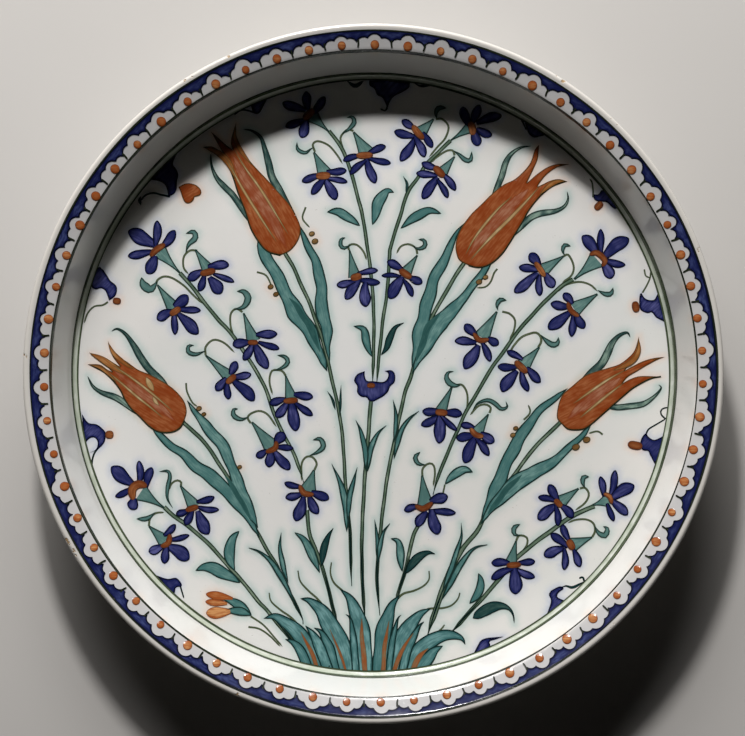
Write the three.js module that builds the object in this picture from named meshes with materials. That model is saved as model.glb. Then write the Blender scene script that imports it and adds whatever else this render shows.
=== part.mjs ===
// A hand painted, straight-sided ceramic dish on a turned foot ring.
//
// Millimetres, +Z up. The origin is the centre of the foot ring's resting face,
// and +Y points to the top of the painted bouquet.
//
// The dish is built up in the order in which a potter makes it: a turned stonepaste
// body, a white slip over it, four tulips laid on as a thick red clay slip, and a clear
// glaze. The foot ring's resting face stays bare, so each coat is two separate skins:
// one over the dish, and one inside the foot ring.

import * as THREE from 'three';

// Outside sizes
const RIM_RADIUS = 160;
const HEIGHT = 46.5;

// Coats
const GLAZE_THICKNESS = 0.5;
const SLIP_THICKNESS = 0.6;
const COATS_THICKNESS = GLAZE_THICKNESS + SLIP_THICKNESS;
const BARE_FOOT_HEIGHT = 1.5;
const HAIRLINE = 0.01; // kept between layers, so that rounded coordinates never overlap

// Inside of the dish
const FLOOR_Z = 13.5;
const FLOOR_RADIUS = 138;
const WALL_FOOT = { r: 141.4, z: 17 };
const WALL_TOP = { r: 147.6, z: 41 };
const BAND_TOP = { r: 157, z: 46.1 };

// Lip and outside wall
const LIP_CREST = { r: 158.4, z: HEIGHT };
const LIP_UNDERSIDE = { r: 159.2, z: 43.4 };
const FLARE_FOOT = { r: 152.2, z: 37.5 };
const HEEL_TOP = { r: 147.2, z: 19 };
const HEEL_BOTTOM = { r: 136, z: 8.2 };

// Foot ring
const FOOT_ROOT = { r: 106.4, z: 7.2 };
const FOOT_OUTER_RADIUS = 105;
const FOOT_INNER_RADIUS = 97;
const FOOT_CHAMFER = 0.5;
const RECESS_Z = 7;
const RECESS_CORNER = 1.6;

// Raised tulips: height of the relief, and where each flower's base sits and leans
const BOLE_THICKNESS = 0.35;
const TULIPS = [
  { name: 'bole_tulip_upper_left', base: [-44.5, 55.4], lean: 31, size: 1, mirrored: false },
  { name: 'bole_tulip_upper_right', base: [43.5, 52.6], lean: -37, size: 0.98, mirrored: true },
  { name: 'bole_tulip_left', base: [-90.5, -24.5], lean: 57, size: 0.76, mirrored: false },
  { name: 'bole_tulip_right', base: [90, -20.5], lean: -58, size: 0.76, mirrored: true },
];

const TURN_SEGMENTS = 40;

const COLOURS = {
  stonepaste: 0xd9c7a8,
  slip: 0xf4f0e8,
  glaze: 0xe9ece8,
  bole: 0xb9501f,
};

function point(at) {
  return new THREE.Vector2(at.r, at.z);
}

// Points along a quadratic curve, without its first one
function curvePoints(from, through, to, steps) {
  const curve = new THREE.QuadraticBezierCurve(point(from), point(through), point(to));
  return curve.getPoints(steps).slice(1);
}

// The finished surface over the dish, from the middle of the floor, over the lip, and
// down the outside to the edge of the bare foot
function dishSurface() {
  const floorEdge = { r: FLOOR_RADIUS, z: FLOOR_Z };
  const floorCorner = { r: WALL_FOOT.r - 0.9, z: FLOOR_Z };
  const bandFoot = { r: WALL_TOP.r + 1, z: WALL_TOP.z + 1.6 };
  const lipOutside = { r: RIM_RADIUS, z: HEIGHT - 1.9 };
  const flareCorner = { r: FLARE_FOOT.r + 1, z: LIP_UNDERSIDE.z - 2 };
  const heelCorner = { r: HEEL_TOP.r - 2.6, z: HEEL_BOTTOM.z };
  const footEdge = { r: FOOT_OUTER_RADIUS, z: BARE_FOOT_HEIGHT };
  return [
    new THREE.Vector2(0, FLOOR_Z),
    point(floorEdge),
    ...curvePoints(floorEdge, floorCorner, WALL_FOOT, 3),
    point(WALL_TOP),
    point(bandFoot),
    point(BAND_TOP),
    point(LIP_CREST),
    ...curvePoints(LIP_CREST, { r: RIM_RADIUS, z: HEIGHT }, lipOutside, 3),
    point(LIP_UNDERSIDE),
    ...curvePoints(LIP_UNDERSIDE, flareCorner, FLARE_FOOT, 2),
    point(HEEL_TOP),
    ...curvePoints(HEEL_TOP, heelCorner, HEEL_BOTTOM, 4),
    point(FOOT_ROOT),
    point(footEdge),
  ];
}

// The finished surface inside the foot ring, from the edge of the bare foot to the middle
function recessSurface() {
  const side = { r: FOOT_INNER_RADIUS - 0.4, z: RECESS_Z - RECESS_CORNER };
  const corner = { r: side.r, z: RECESS_Z };
  const flat = { r: side.r - RECESS_CORNER, z: RECESS_Z };
  return [
    new THREE.Vector2(FOOT_INNER_RADIUS, BARE_FOOT_HEIGHT),
    point(side),
    ...curvePoints(side, corner, flat, 2),
    new THREE.Vector2(0, RECESS_Z),
  ];
}

// The same line moved into the clay by a depth, with mitred corners. The clay is on the
// right of the line as it is walked.
function inset(line, depth) {
  const normals = line.slice(1).map((end, index) => {
    const along = end.clone().sub(line[index]).normalize();
    return new THREE.Vector2(along.y, -along.x);
  });
  return line.map((corner, index) => {
    const before = normals[Math.max(index - 1, 0)];
    const after = normals[Math.min(index, normals.length - 1)];
    const mitre = before.clone().add(after).normalize();
    const reach = depth / mitre.dot(after);
    return corner.clone().addScaledVector(mitre, reach);
  });
}

// A profile of radius and height, turned about Z
function turned(name, profile, colour, roughness) {
  const geometry = new THREE.LatheGeometry(profile, TURN_SEGMENTS);
  geometry.rotateX(Math.PI / 2);
  const material = new THREE.MeshStandardMaterial({ color: colour, roughness, metalness: 0 });
  const mesh = new THREE.Mesh(geometry, material);
  mesh.name = name;
  return mesh;
}

// A skin between two depths under a finished surface, walked from the axis to the foot
// and back, or from the foot to the axis after its underside
function coat(name, surface, topDepth, bottomDepth, colour, roughness) {
  const top = inset(surface, topDepth);
  const bottom = inset(surface, bottomDepth - HAIRLINE).reverse();
  const startsOnAxis = surface[0].x === 0;
  const profile = startsOnAxis ? [...top, ...bottom] : [...bottom, ...top];
  return turned(name, profile.reverse(), colour, roughness);
}

function stonepasteBody() {
  const outside = inset(dishSurface(), COATS_THICKNESS);
  const recess = inset(recessSurface(), COATS_THICKNESS);
  const outerFoot = outside[outside.length - 1].x;
  const innerFoot = recess[0].x;
  const restingFace = [
    new THREE.Vector2(outerFoot, FOOT_CHAMFER),
    new THREE.Vector2(outerFoot - FOOT_CHAMFER, 0),
    new THREE.Vector2(innerFoot + FOOT_CHAMFER, 0),
    new THREE.Vector2(innerFoot, FOOT_CHAMFER),
  ];
  const profile = [...outside, ...restingFace, ...recess];
  return turned('stonepaste_body', profile.reverse(), COLOURS.stonepaste, 0.85);
}

// One tulip seen from above: its base at the origin and its petals along +Y, with the
// right side fuller than the left and three curling tips
function tulipShape() {
  const shape = new THREE.Shape();
  shape.moveTo(0, 0);
  shape.bezierCurveTo(-8, 0, -11.5, 9, -10.5, 20);
  shape.bezierCurveTo(-9.5, 32, -8, 40, -8, 46);
  shape.bezierCurveTo(-8.2, 52, -11, 55, -15, 59);
  shape.bezierCurveTo(-10.5, 57.5, -7.5, 55.5, -6, 53);
  shape.bezierCurveTo(-6.5, 57, -6.5, 61, -8, 65);
  shape.bezierCurveTo(-4.5, 61.5, -2.5, 58, -1, 54.5);
  shape.bezierCurveTo(-1.5, 59, 0, 63, 4, 66);
  shape.bezierCurveTo(2, 60, 2.2, 56, 3, 51);
  shape.bezierCurveTo(4.5, 42, 9.5, 30, 11.5, 19);
  shape.bezierCurveTo(12.5, 8, 8.5, 0, 0, 0);
  return shape;
}

function boleTulip({ name, base, lean, size, mirrored }) {
  const outline = tulipShape().getPoints(5).slice(0, -1);
  const side = mirrored ? -size : size;
  const points = outline.map((at) => new THREE.Vector2(at.x * side, at.y * size));
  const shape = new THREE.Shape(mirrored ? points.reverse() : points);
  const geometry = new THREE.ExtrudeGeometry(shape, { depth: BOLE_THICKNESS, bevelEnabled: false });
  const material = new THREE.MeshStandardMaterial({
    color: COLOURS.bole,
    roughness: 0.35,
    metalness: 0,
  });
  const mesh = new THREE.Mesh(geometry, material);
  mesh.name = name;
  mesh.position.set(base[0], base[1], FLOOR_Z + HAIRLINE);
  mesh.rotation.z = THREE.MathUtils.degToRad(lean);
  return mesh;
}

const dish = new THREE.Group();
const { slip, glaze } = COLOURS;

dish.add(stonepasteBody());
dish.add(coat('white_slip', dishSurface(), GLAZE_THICKNESS, COATS_THICKNESS, slip, 0.6));
dish.add(coat('clear_glaze', dishSurface(), 0, GLAZE_THICKNESS, glaze, 0.08));
dish.add(coat('recess_slip', recessSurface(), GLAZE_THICKNESS, COATS_THICKNESS, slip, 0.6));
dish.add(coat('recess_glaze', recessSurface(), 0, GLAZE_THICKNESS, glaze, 0.08));
TULIPS.forEach((tulip) => dish.add(boleTulip(tulip)));

export default dish;
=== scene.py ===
import math
import random

import bmesh
import bpy
import numpy as np
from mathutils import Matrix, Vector, kdtree


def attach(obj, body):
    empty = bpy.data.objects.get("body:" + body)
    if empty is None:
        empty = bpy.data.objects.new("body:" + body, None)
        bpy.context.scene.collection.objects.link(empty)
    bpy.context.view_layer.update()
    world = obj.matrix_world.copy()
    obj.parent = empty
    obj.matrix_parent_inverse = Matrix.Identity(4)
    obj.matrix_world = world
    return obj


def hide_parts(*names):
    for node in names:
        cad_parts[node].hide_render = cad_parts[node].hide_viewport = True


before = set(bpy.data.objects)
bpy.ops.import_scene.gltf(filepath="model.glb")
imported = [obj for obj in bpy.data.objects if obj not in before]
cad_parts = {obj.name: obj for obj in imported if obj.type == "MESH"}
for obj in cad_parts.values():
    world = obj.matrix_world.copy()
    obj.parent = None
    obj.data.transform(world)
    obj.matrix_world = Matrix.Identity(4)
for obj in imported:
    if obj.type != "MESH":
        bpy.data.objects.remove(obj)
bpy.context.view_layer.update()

# A round footed dish of white glazed stonepaste, painted with two tall and two
# low tulips, hyacinths and curling leaves that rise from one tuft of blades.
# Lengths are in millimetres until a mesh is placed in the frame, in metres.
MM = 0.001
UP = Vector((0, 0, 1))
hand = random.Random(1571)

# ---------------------------------------------------------------- the dish
FLOOR_Z = 13.5
FLOOR_RADIUS = 138
WALL_FOOT = (141.4, 17)
WALL_TOP = (147.6, 41)
WALL_LINE = 148.1
BAND_FOOT = (148.6, 42.6)
BAND_TOP = (157, 46.1)
LIP_CREST = (158.4, 46.5)
LIP_UNDERSIDE = (159.2, 43.4)
LIP_RADIUS = 159.99
FLARE_FOOT = (152.2, 37.5)
HEEL_TOP = (147.2, 19)
HEEL_BOTTOM = (136, 8.2)
FOOT_ROOT = (106.4, 7.2)
FOOT_OUTER = (105, 1.5)
FOOT_INNER = (97, 1.5)
RECESS_Z = 7
GLAZE_DEPTH = 1.0
BODY_DEPTH = 1.1
TURN_STEPS = 480
FLOOR_RINGS = 72


def curve(start, pull, end, count):
    """Points after start on the round stretch that runs to end."""
    shares = [i / count for i in range(1, count + 1)]
    return [
        tuple((1 - t) ** 2 * a + 2 * t * (1 - t) * b + t * t * c for a, b, c in zip(start, pull, end))
        for t in shares
    ]


def straight(start, end, count):
    """Points after start on the line to end."""
    return curve(start, ((start[0] + end[0]) / 2, (start[1] + end[1]) / 2), end, count)


def inside_section():
    """The glaze from the centre of the floor to the crest of the lip."""
    floor = straight((0, FLOOR_Z), (FLOOR_RADIUS, FLOOR_Z), FLOOR_RINGS)
    foot = curve((FLOOR_RADIUS, FLOOR_Z), (140.5, FLOOR_Z), WALL_FOOT, 8)
    wall = straight(WALL_FOOT, WALL_TOP, 8)
    turn = curve(WALL_TOP, (147.9, 42.2), BAND_FOOT, 4)
    band = straight(BAND_FOOT, BAND_TOP, 7)
    return [(0, FLOOR_Z)] + floor + foot + wall + turn + band + straight(BAND_TOP, LIP_CREST, 2)


def outside_section():
    """The glaze from the crest of the lip down to where the foot is bare."""
    lip = curve(LIP_CREST, (LIP_RADIUS, 46.5), (LIP_RADIUS, 44.6), 6)
    lip += straight((LIP_RADIUS, 44.6), LIP_UNDERSIDE, 2)
    flare = curve(LIP_UNDERSIDE, (153.2, 41.4), FLARE_FOOT, 8)
    wall = straight(FLARE_FOOT, HEEL_TOP, 8)
    heel = curve(HEEL_TOP, (144.6, 8.2), HEEL_BOTTOM, 12)
    base = straight(HEEL_BOTTOM, FOOT_ROOT, 5) + straight(FOOT_ROOT, FOOT_OUTER, 3)
    return lip + flare + wall + heel + base


def recess_section():
    """The glaze inside the foot ring, from its edge to the centre."""
    rise = straight(FOOT_INNER, (96.6, 5.4), 2) + curve((96.6, 5.4), (96.6, RECESS_Z), (95, RECESS_Z), 5)
    return [FOOT_INNER] + rise + straight((95, RECESS_Z), (0, RECESS_Z), 10)


def sunk(section, depth):
    """The same section, moved into the wall by depth; its ends stay on the axis or at their height."""
    line = np.array(section, float)
    run = np.gradient(line, axis=0)
    run /= np.hypot(*run.T)[:, None]
    moved = line + depth * np.column_stack([run[:, 1], -run[:, 0]])
    moved[np.isclose(line[:, 0], 0), 0] = 0
    for end in (0, -1):
        if line[end, 0] > 1:
            moved[end, 1] = line[end, 1]
    return [tuple(p) for p in moved]


INSIDE = inside_section()
OUTSIDE = outside_section()
RECESS = recess_section()


def turned(section, steps):
    """A bmesh of the section turned round the upright axis."""
    bm = bmesh.new()
    points = [bm.verts.new((r * MM, 0, z * MM)) for r, z in section]
    lines = [bm.edges.new(pair) for pair in zip(points, points[1:])]
    bmesh.ops.spin(bm, geom=points + lines, axis=UP, angle=math.tau, steps=steps, use_merge=True)
    bmesh.ops.remove_doubles(bm, verts=bm.verts, dist=1e-7)
    bmesh.ops.recalc_face_normals(bm, faces=bm.faces)
    return bm


def piece(bm, name, finish):
    """A finished, smooth shaded piece that rides on the one body."""
    for face in bm.faces:
        face.smooth = True
    mesh = bpy.data.meshes.new(name)
    bm.to_mesh(mesh)
    bm.free()
    mesh.materials.append(finish)
    made = bpy.data.objects.new(name, mesh)
    bpy.context.scene.collection.objects.link(made)
    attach(made, "root")
    return made


# ---------------------------------------------------------------- brushwork
# How deep the paint is set in the glaze, how high each kind stands over it, and
# the hair between strokes of one piece that cross.
SINK = 0.15
RING_LIFT = 0.05
STALK_LIFT = 0.05
STEM_LIFT = 0.055
LEAF_LIFT = 0.1
OVER_LIFT = 0.15
PETAL_LIFT = 0.16
HEART_LIFT = 0.21
LINE_LIFT = 0.22
BOLE_RISE = 0.24
LAYER = 0.005


def pairs(values):
    """x, y points from a plain run of numbers."""
    return list(zip(values[0::2], values[1::2]))


def smooth_run(points, count, ends_close=False):
    """count + 1 steps along a smooth curve through the points, and its length."""
    p = np.array(points, float)
    ghosts = np.vstack([2 * p[0] - p[1], p, 2 * p[-1] - p[-2]])
    t = np.linspace(0, 1, 14, endpoint=False)[:, None]
    fine = [
        0.5 * (2 * b + (c - a) * t + (2 * a - 5 * b + 4 * c - d) * t ** 2 + (3 * b - a - 3 * c + d) * t ** 3)
        for a, b, c, d in zip(ghosts, ghosts[1:], ghosts[2:], ghosts[3:])
    ]
    fine = np.vstack(fine + [p[-1:]])
    run = np.concatenate([[0], np.cumsum(np.hypot(*np.diff(fine, axis=0).T))])
    share = np.linspace(0, 1, count + 1)
    if ends_close:
        share = 0.5 - 0.5 * np.cos(math.pi * share)
    at = share * run[-1]
    return np.column_stack([np.interp(at, run, fine[:, 0]), np.interp(at, run, fine[:, 1])]), run[-1], share


def leaf(t):
    """Pointed at both ends."""
    return np.sin(math.pi * np.clip(t, 0, 1)) ** 0.75


def sprout(t):
    """Opens from a thin stalk, widest past the middle, then a point."""
    return np.sin(math.pi * np.clip(t, 0, 1) ** 1.25) ** 0.85 * 0.94 + 0.06 * (1 - t)


def petal(t):
    """A flower petal: a narrow root, a full end that rounds to a slight point."""
    root = 0.38 + 0.62 * np.sin(math.pi / 2 * np.clip(t / 0.7, 0, 1))
    end = np.clip((t - 0.54) / 0.46, 0, 1)
    return root * (1 - end ** 2.2) ** 0.62


def pill(t):
    """A short blob with round ends."""
    return np.sqrt(np.clip(1 - np.abs(2 * t - 1) ** 3, 0, 1))


def bell(t):
    """The cup behind a flower: wide at the flower, drawn in to its stalk."""
    return 0.13 + 0.87 * (1 - t) ** 1.15


def trumpet(t):
    """The cup at the end of a stem, which flows into it."""
    return 0.13 + 0.87 * (1 - t) ** 1.7


def blade(t):
    """A long leaf of drawn widths, pointed at both ends."""
    return np.clip(np.minimum(t, 1 - t) / 0.07, 0, 1) ** 0.7


def horn(t):
    """Full where it leaves the flower and most of its length, then drawn to a point."""
    return (0.8 + 0.2 * np.sin(math.pi * np.clip(t * 1.3, 0, 1))) * np.clip((1 - t) / 0.42, 0, 1) ** 0.6


def reed(t):
    """Pointed where it bends over, and broad down to its root."""
    return np.sin(math.pi / 2 * np.clip(t / 0.55, 0, 1)) ** 0.85


def vein(t):
    """A point at the top that opens towards the root."""
    return 0.15 + 0.85 * np.sin(math.pi / 2 * np.clip(t / 0.6, 0, 1))


def thread(t):
    """A drawn line that thins a little towards its end."""
    return np.clip(np.minimum(1, 14 * (1 - t)), 0.25, 1) * (1 - 0.15 * t)


def bar(t):
    """A line of one width."""
    return np.ones_like(t)


class Paint:
    """Strokes of one colour, drawn flat: x, y, and the height over the glaze."""

    def __init__(self):
        self.bm = bmesh.new()
        names = ("edge", "along", "side", "tone")
        self.marks = {n: self.bm.verts.layers.float.new(n) for n in names}
        self.layers = 0

    def note(self, vert, **values):
        for name, value in values.items():
            vert[self.marks[name]] = value

    def over_the_last(self, lift):
        """The lift of a new stroke, a hair above the one before it."""
        self.layers += 1
        return lift + LAYER * (self.layers % 8)

    def thicken(self, faces):
        """Gives new flat faces their thickness, down into the glaze."""
        made = bmesh.ops.extrude_face_region(self.bm, geom=faces, use_keep_orig=True)
        for v in made["geom"]:
            if isinstance(v, bmesh.types.BMVert):
                v.co.z = -SINK

    def stroke(self, points, width, shape=leaf, lift=STEM_LIFT, dome=0.0, tone=None, waver=0.0):
        """One brush stroke along the points. width is one number or one at each point."""
        tone = hand.random() if tone is None else tone
        lift = self.over_the_last(lift)
        widest = max(width) if isinstance(width, (tuple, list)) else width
        rough = float(np.sum(np.hypot(*np.diff(np.array(points, float), axis=0).T)))
        count = int(np.clip(rough / 0.8, 10, 240))
        rows = 2 if widest < 1.3 else (6 if dome else 4)
        line, length, share = smooth_run(points, count, rough < 40)
        run = np.gradient(line, axis=0)
        run /= np.maximum(np.hypot(*run.T), 1e-9)[:, None]
        if isinstance(width, (tuple, list)):
            half = np.interp(share, np.linspace(0, 1, len(width)), width) / 2
            half = half * shape(share)
        else:
            half = width / 2 * shape(share)
        near_end = np.full(count + 1, 1e3)
        if half[0] < 0.2 * widest / 2:
            near_end = np.minimum(near_end, share * length)
        if half[-1] < 0.2 * widest / 2:
            near_end = np.minimum(near_end, (1 - share) * length)
        made = bmesh.ops.create_grid(self.bm, x_segments=count, y_segments=rows, size=1)["verts"]
        for v in made:
            i = round((v.co.x + 1) / 2 * count)
            across = v.co.y
            sway = 1 + waver * math.sin(share[i] * length / 2.4 + 2.1 * (across > 0) + 9 * tone)
            offset = across * half[i] * sway
            edge = min((1 - abs(across)) * half[i], near_end[i])
            swell = dome * (1 - math.exp(-edge / 0.5)) if dome else 0
            v.co = (line[i, 0] - run[i, 1] * offset, line[i, 1] + run[i, 0] * offset, lift + swell)
            self.note(v, edge=edge, along=share[i] * length, side=offset, tone=tone)
        bmesh.ops.remove_doubles(self.bm, verts=made, dist=0.02)
        self.thicken(list(dict.fromkeys(f for v in made if v.is_valid for f in v.link_faces)))

    def trim(self, toward, radius):
        """Cuts off what runs out past the radius, and closes the cut."""
        out = Vector((*toward, 0)).normalized()
        everything = self.bm.verts[:] + self.bm.edges[:] + self.bm.faces[:]
        cut = bmesh.ops.bisect_plane(
            self.bm, geom=everything, plane_co=out * radius, plane_no=out, clear_outer=True)
        rim = [e for e in cut["geom_cut"] if isinstance(e, bmesh.types.BMEdge)]
        if rim:
            bmesh.ops.edgeloop_fill(self.bm, edges=rim)

    def shape(self, runs, lift=PETAL_LIFT, dome=0.0, grain=1.0, angle=0.0, tone=0.5):
        """A filled outline. Each run is smooth, and the runs meet at corners."""
        outline = np.vstack([self.resampled(run, grain)[:-1] for run in runs])
        flat = bmesh.new()
        corners = [flat.verts.new((x, y, 0)) for x, y in outline]
        for a, b in zip(corners, corners[1:] + corners[:1]):
            flat.edges.new((a, b))
        bmesh.ops.triangle_fill(flat, use_beauty=True, edges=flat.edges[:])
        low, high = outline.min(0), outline.max(0)
        for axis, across in enumerate((Vector((1, 0, 0)), Vector((0, 1, 0)))):
            for at in np.arange(low[axis] + grain * 0.53, high[axis], grain):
                everything = flat.verts[:] + flat.edges[:] + flat.faces[:]
                bmesh.ops.bisect_plane(
                    flat, geom=everything, plane_co=across * at, plane_no=across, dist=1e-5)
        bmesh.ops.remove_doubles(flat, verts=flat.verts, dist=0.02)
        held = bpy.data.meshes.new("held")
        flat.to_mesh(held)
        flat.free()
        before = len(self.bm.verts)
        self.bm.from_mesh(held)
        bpy.data.meshes.remove(held)
        self.bm.verts.ensure_lookup_table()
        made = self.bm.verts[before:]
        away = distance_to(outline, np.array([v.co.xy for v in made]))
        turn = (math.cos(angle), math.sin(angle))
        for v, edge in zip(made, away):
            swell = dome * (1 - math.exp(-edge / 0.6)) if dome else 0
            along = v.co.x * turn[0] + v.co.y * turn[1]
            side = v.co.y * turn[0] - v.co.x * turn[1]
            v.co.z = lift + swell
            self.note(v, edge=edge, along=along, side=side, tone=tone)
        self.thicken(list(dict.fromkeys(f for v in made for f in v.link_faces)))

    @staticmethod
    def resampled(run, grain):
        rough = float(np.sum(np.hypot(*np.diff(np.array(run, float), axis=0).T)))
        if len(run) == 2:
            count = max(1, round(rough / grain))
            return np.linspace(run[0], run[1], count + 1)
        return smooth_run(run, max(3, round(rough / grain)))[0]

    def lay(self, name, finish, bleed=None, surface=None):
        """Lays the strokes on the dish as one piece, inside it unless a surface is given."""
        bm = self.bm
        bmesh.ops.recalc_face_normals(bm, faces=bm.faces)
        for e in bm.edges:
            e.smooth = e.calc_face_angle(0) < 0.6
        flat = np.array([v.co[:] for v in bm.verts])
        if bleed:
            BLEEDS[bleed].append(flat[flat[:, 2] > 0, :2])
        for v, spot in zip(bm.verts, (surface or on_inside)(flat)):
            v.co = spot
        return piece(bm, name, finish)


BLEEDS = {"bleed_blue": [], "bleed_green": [], "bleed_red": []}


def distance_to(outline, points):
    """How far each point is from the closed outline."""
    a = outline[None, :, :]
    b = np.roll(outline, -1, axis=0)[None, :, :]
    p = points[:, None, :]
    span = b - a
    t = np.clip(((p - a) * span).sum(2) / np.maximum((span ** 2).sum(2), 1e-12), 0, 1)
    return np.hypot(*np.moveaxis(p - a - t[:, :, None] * span, 2, 0)).min(1)


def lifted(place, normal, height):
    """Points raised from the surface along its normal, in metres."""
    return (place + normal / np.linalg.norm(normal, axis=1)[:, None] * height) * MM


def on_inside(flat):
    """Places x, y, height on the floor, wall and rim band, in metres."""
    line = np.array(INSIDE).T
    radius = np.hypot(flat[:, 0], flat[:, 1])
    slope = (np.interp(radius + 0.05, *line) - np.interp(radius - 0.05, *line)) / 0.1
    out = flat[:, :2] / np.maximum(radius, 1e-9)[:, None]
    normal = np.column_stack([-slope[:, None] * out, np.ones(len(flat))])
    return lifted(np.column_stack([flat[:, :2], np.interp(radius, *line)]), normal, flat[:, 2:])


def on_outside(flat):
    """Places arc length round the wall, height above the foot, and lift, in metres."""
    line = np.array(OUTSIDE)[::-1].T[::-1]
    z = flat[:, 1]
    slope = (np.interp(z + 0.1, *line) - np.interp(z - 0.1, *line)) / 0.2
    turn = flat[:, 0] / WALL_TOP[0]
    out = np.column_stack([np.cos(turn), np.sin(turn)])
    place = np.column_stack([out * np.interp(z, *line)[:, None], z])
    return lifted(place, np.column_stack([out, -slope]), flat[:, 2:])


def painted(name, strokes, shape, lift, finish, slot="copper_green", bleed=None, **brush):
    """A piece of strokes, each given as its width and its points."""
    paint = Paint()
    for width, *points in strokes:
        paint.stroke(pairs(points), width, shape, lift, **brush)
    return paint.lay(name, finish, bleed)


def filled(name, runs, lift, finish, slot, bleed, **brush):
    """A piece with a filled outline, given as runs of points."""
    paint = Paint()
    paint.shape([pairs(run) for run in runs], lift, **brush)
    return paint.lay(name, finish, bleed)


# ---------------------------------------------------------------- finishes
def tint(red, green, blue):
    """A linear colour from the usual 0 to 255 values."""
    def one(c):
        c = c / 255
        return c / 12.92 if c <= 0.04045 else ((c + 0.055) / 1.055) ** 2.4
    return (one(red), one(green), one(blue), 1.0)


def add(tree, kind, inputs=None, **settings):
    """A shader node with its settings, and its sockets set or fed."""
    node = tree.nodes.new("ShaderNode" + kind)
    for key, value in settings.items():
        setattr(node, key, value)
    for key, value in (inputs or {}).items():
        if isinstance(value, bpy.types.NodeSocket):
            tree.links.new(value, node.inputs[key])
        else:
            node.inputs[key].default_value = value
    return node


def mix(tree, share, a, b):
    """Colour a where share is 0, b where it is 1."""
    return add(tree, "Mix", {0: share, 6: a, 7: b}, data_type="RGBA").outputs[2]


def times(tree, a, b):
    return add(tree, "Math", {0: a, 1: b}, operation="MULTIPLY").outputs[0]


def plus(tree, a, b):
    return add(tree, "Math", {0: a, 1: b}, operation="ADD").outputs[0]


def minus(tree, a, b):
    return add(tree, "Math", {0: a, 1: b}, operation="SUBTRACT").outputs[0]


def step(tree, value, low, high, start=0.0, end=1.0):
    """A smooth step of value from low to high."""
    sockets = {"Value": value, "From Min": low, "From Max": high, "To Min": start, "To Max": end}
    return add(tree, "MapRange", sockets, interpolation_type="SMOOTHSTEP").outputs["Result"]


def noise(tree, vector, scale, detail=2.0, rough=0.5):
    sockets = {"Vector": vector, "Scale": scale, "Detail": detail, "Roughness": rough}
    return add(tree, "TexNoise", sockets).outputs["Fac"]


def place(tree):
    return add(tree, "TexCoord").outputs["Object"]


def mark(tree, name):
    return add(tree, "Attribute", attribute_name=name).outputs["Fac"]


def new_group(name, inputs, outputs):
    """An empty node group with named sockets: its tree, and its inputs by name."""
    tree = bpy.data.node_groups.new(name, "ShaderNodeTree")
    for socket, default in inputs.items():
        kind = "NodeSocketColor" if isinstance(default, tuple) else "NodeSocketFloat"
        made = tree.interface.new_socket(socket, in_out="INPUT", socket_type=kind)
        made.default_value = default
    for socket, kind in outputs.items():
        tree.interface.new_socket(socket, in_out="OUTPUT", socket_type="NodeSocket" + kind)
    into = tree.nodes.new("NodeGroupInput")
    return tree, {socket: into.outputs[socket] for socket in inputs}


def close_group(tree, **results):
    out = tree.nodes.new("NodeGroupOutput")
    for socket, value in results.items():
        tree.links.new(value, out.inputs[socket])
    return tree


def build_glaze_skin():
    """The unevenness of a fired glaze, for Height and Roughness."""
    tree, given = new_group("glaze_skin", {"Orange Peel": 1.0}, {"Height": "Float", "Roughness": "Float"})
    where = place(tree)
    waves = noise(tree, where, 38, 2)
    peel = noise(tree, where, 210, 2)
    pit = step(tree, noise(tree, where, 900, 1), 0.74, 0.8)
    height = times(tree, peel, given["Orange Peel"])
    total = plus(tree, times(tree, waves, 2.4), height)
    total = minus(tree, total, times(tree, pit, 0.5))
    shine = step(tree, noise(tree, where, 60, 3), 0.3, 0.75, 0.13, 0.24)
    return close_group(tree, Height=total, Roughness=shine)


def build_brush_wash():
    """Colour of a brush stroke: a drawn edge, pooled colour inside it, paler streaks along it."""
    inputs = {
        "Body": tint(60, 80, 140), "Thin": tint(120, 130, 190), "Line": tint(20, 25, 40),
        "Line Width": 0.45, "Pool": 0.5, "Streaks": 0.6,
    }
    tree, given = new_group("brush_wash", inputs, {"Colour": "Color", "Height": "Float"})
    where = place(tree)
    edge = mark(tree, "edge")
    tone = mark(tree, "tone")
    wander = noise(tree, where, 330, 2)
    width = times(tree, given["Line Width"], plus(tree, wander, 0.5))
    soft = plus(tree, width, 0.32)
    line = minus(tree, 1.0, step(tree, edge, width, soft))
    pool = minus(tree, 1.0, step(tree, edge, 0.3, 1.7))
    bristles = add(tree, "CombineXYZ", {0: times(tree, mark(tree, "along"), 0.16),
                                        1: mark(tree, "side"), 2: times(tree, tone, 9)})
    streak = step(tree, noise(tree, bristles.outputs[0], 1.3, 3), 0.35, 0.68, 0.25, 0.85)
    cloud = step(tree, noise(tree, where, 150, 3), 0.3, 0.7)
    thin = times(tree, streak, given["Streaks"])
    thin = times(tree, thin, plus(tree, cloud, 0.35))
    thin = times(tree, thin, plus(tree, tone, 0.55))
    pooled = times(tree, pool, given["Pool"])
    thin = minus(tree, thin, pooled)
    thin.node.use_clamp = True
    colour = mix(tree, thin, given["Body"], given["Thin"])
    colour = mix(tree, line, colour, given["Line"])
    height = times(tree, plus(tree, line, pooled), 0.35)
    return close_group(tree, Colour=colour, Height=height)


def group_node(tree, group, **values):
    node = tree.nodes.new("ShaderNodeGroup")
    node.node_tree = group
    for key, value in values.items():
        node.inputs[key.replace("_", " ")].default_value = value
    return node


def new_finish(name):
    """A material, its tree, and its cleared shader."""
    material = bpy.data.materials.new(name)
    material.use_nodes = True
    tree = material.node_tree
    shader = tree.nodes["Principled BSDF"]
    return material, tree, shader


def bump(tree, shader, height, distance):
    node = add(tree, "Bump", {"Height": height, "Distance": distance, "Strength": 1.0})
    tree.links.new(node.outputs[0], shader.inputs["Normal"])


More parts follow.
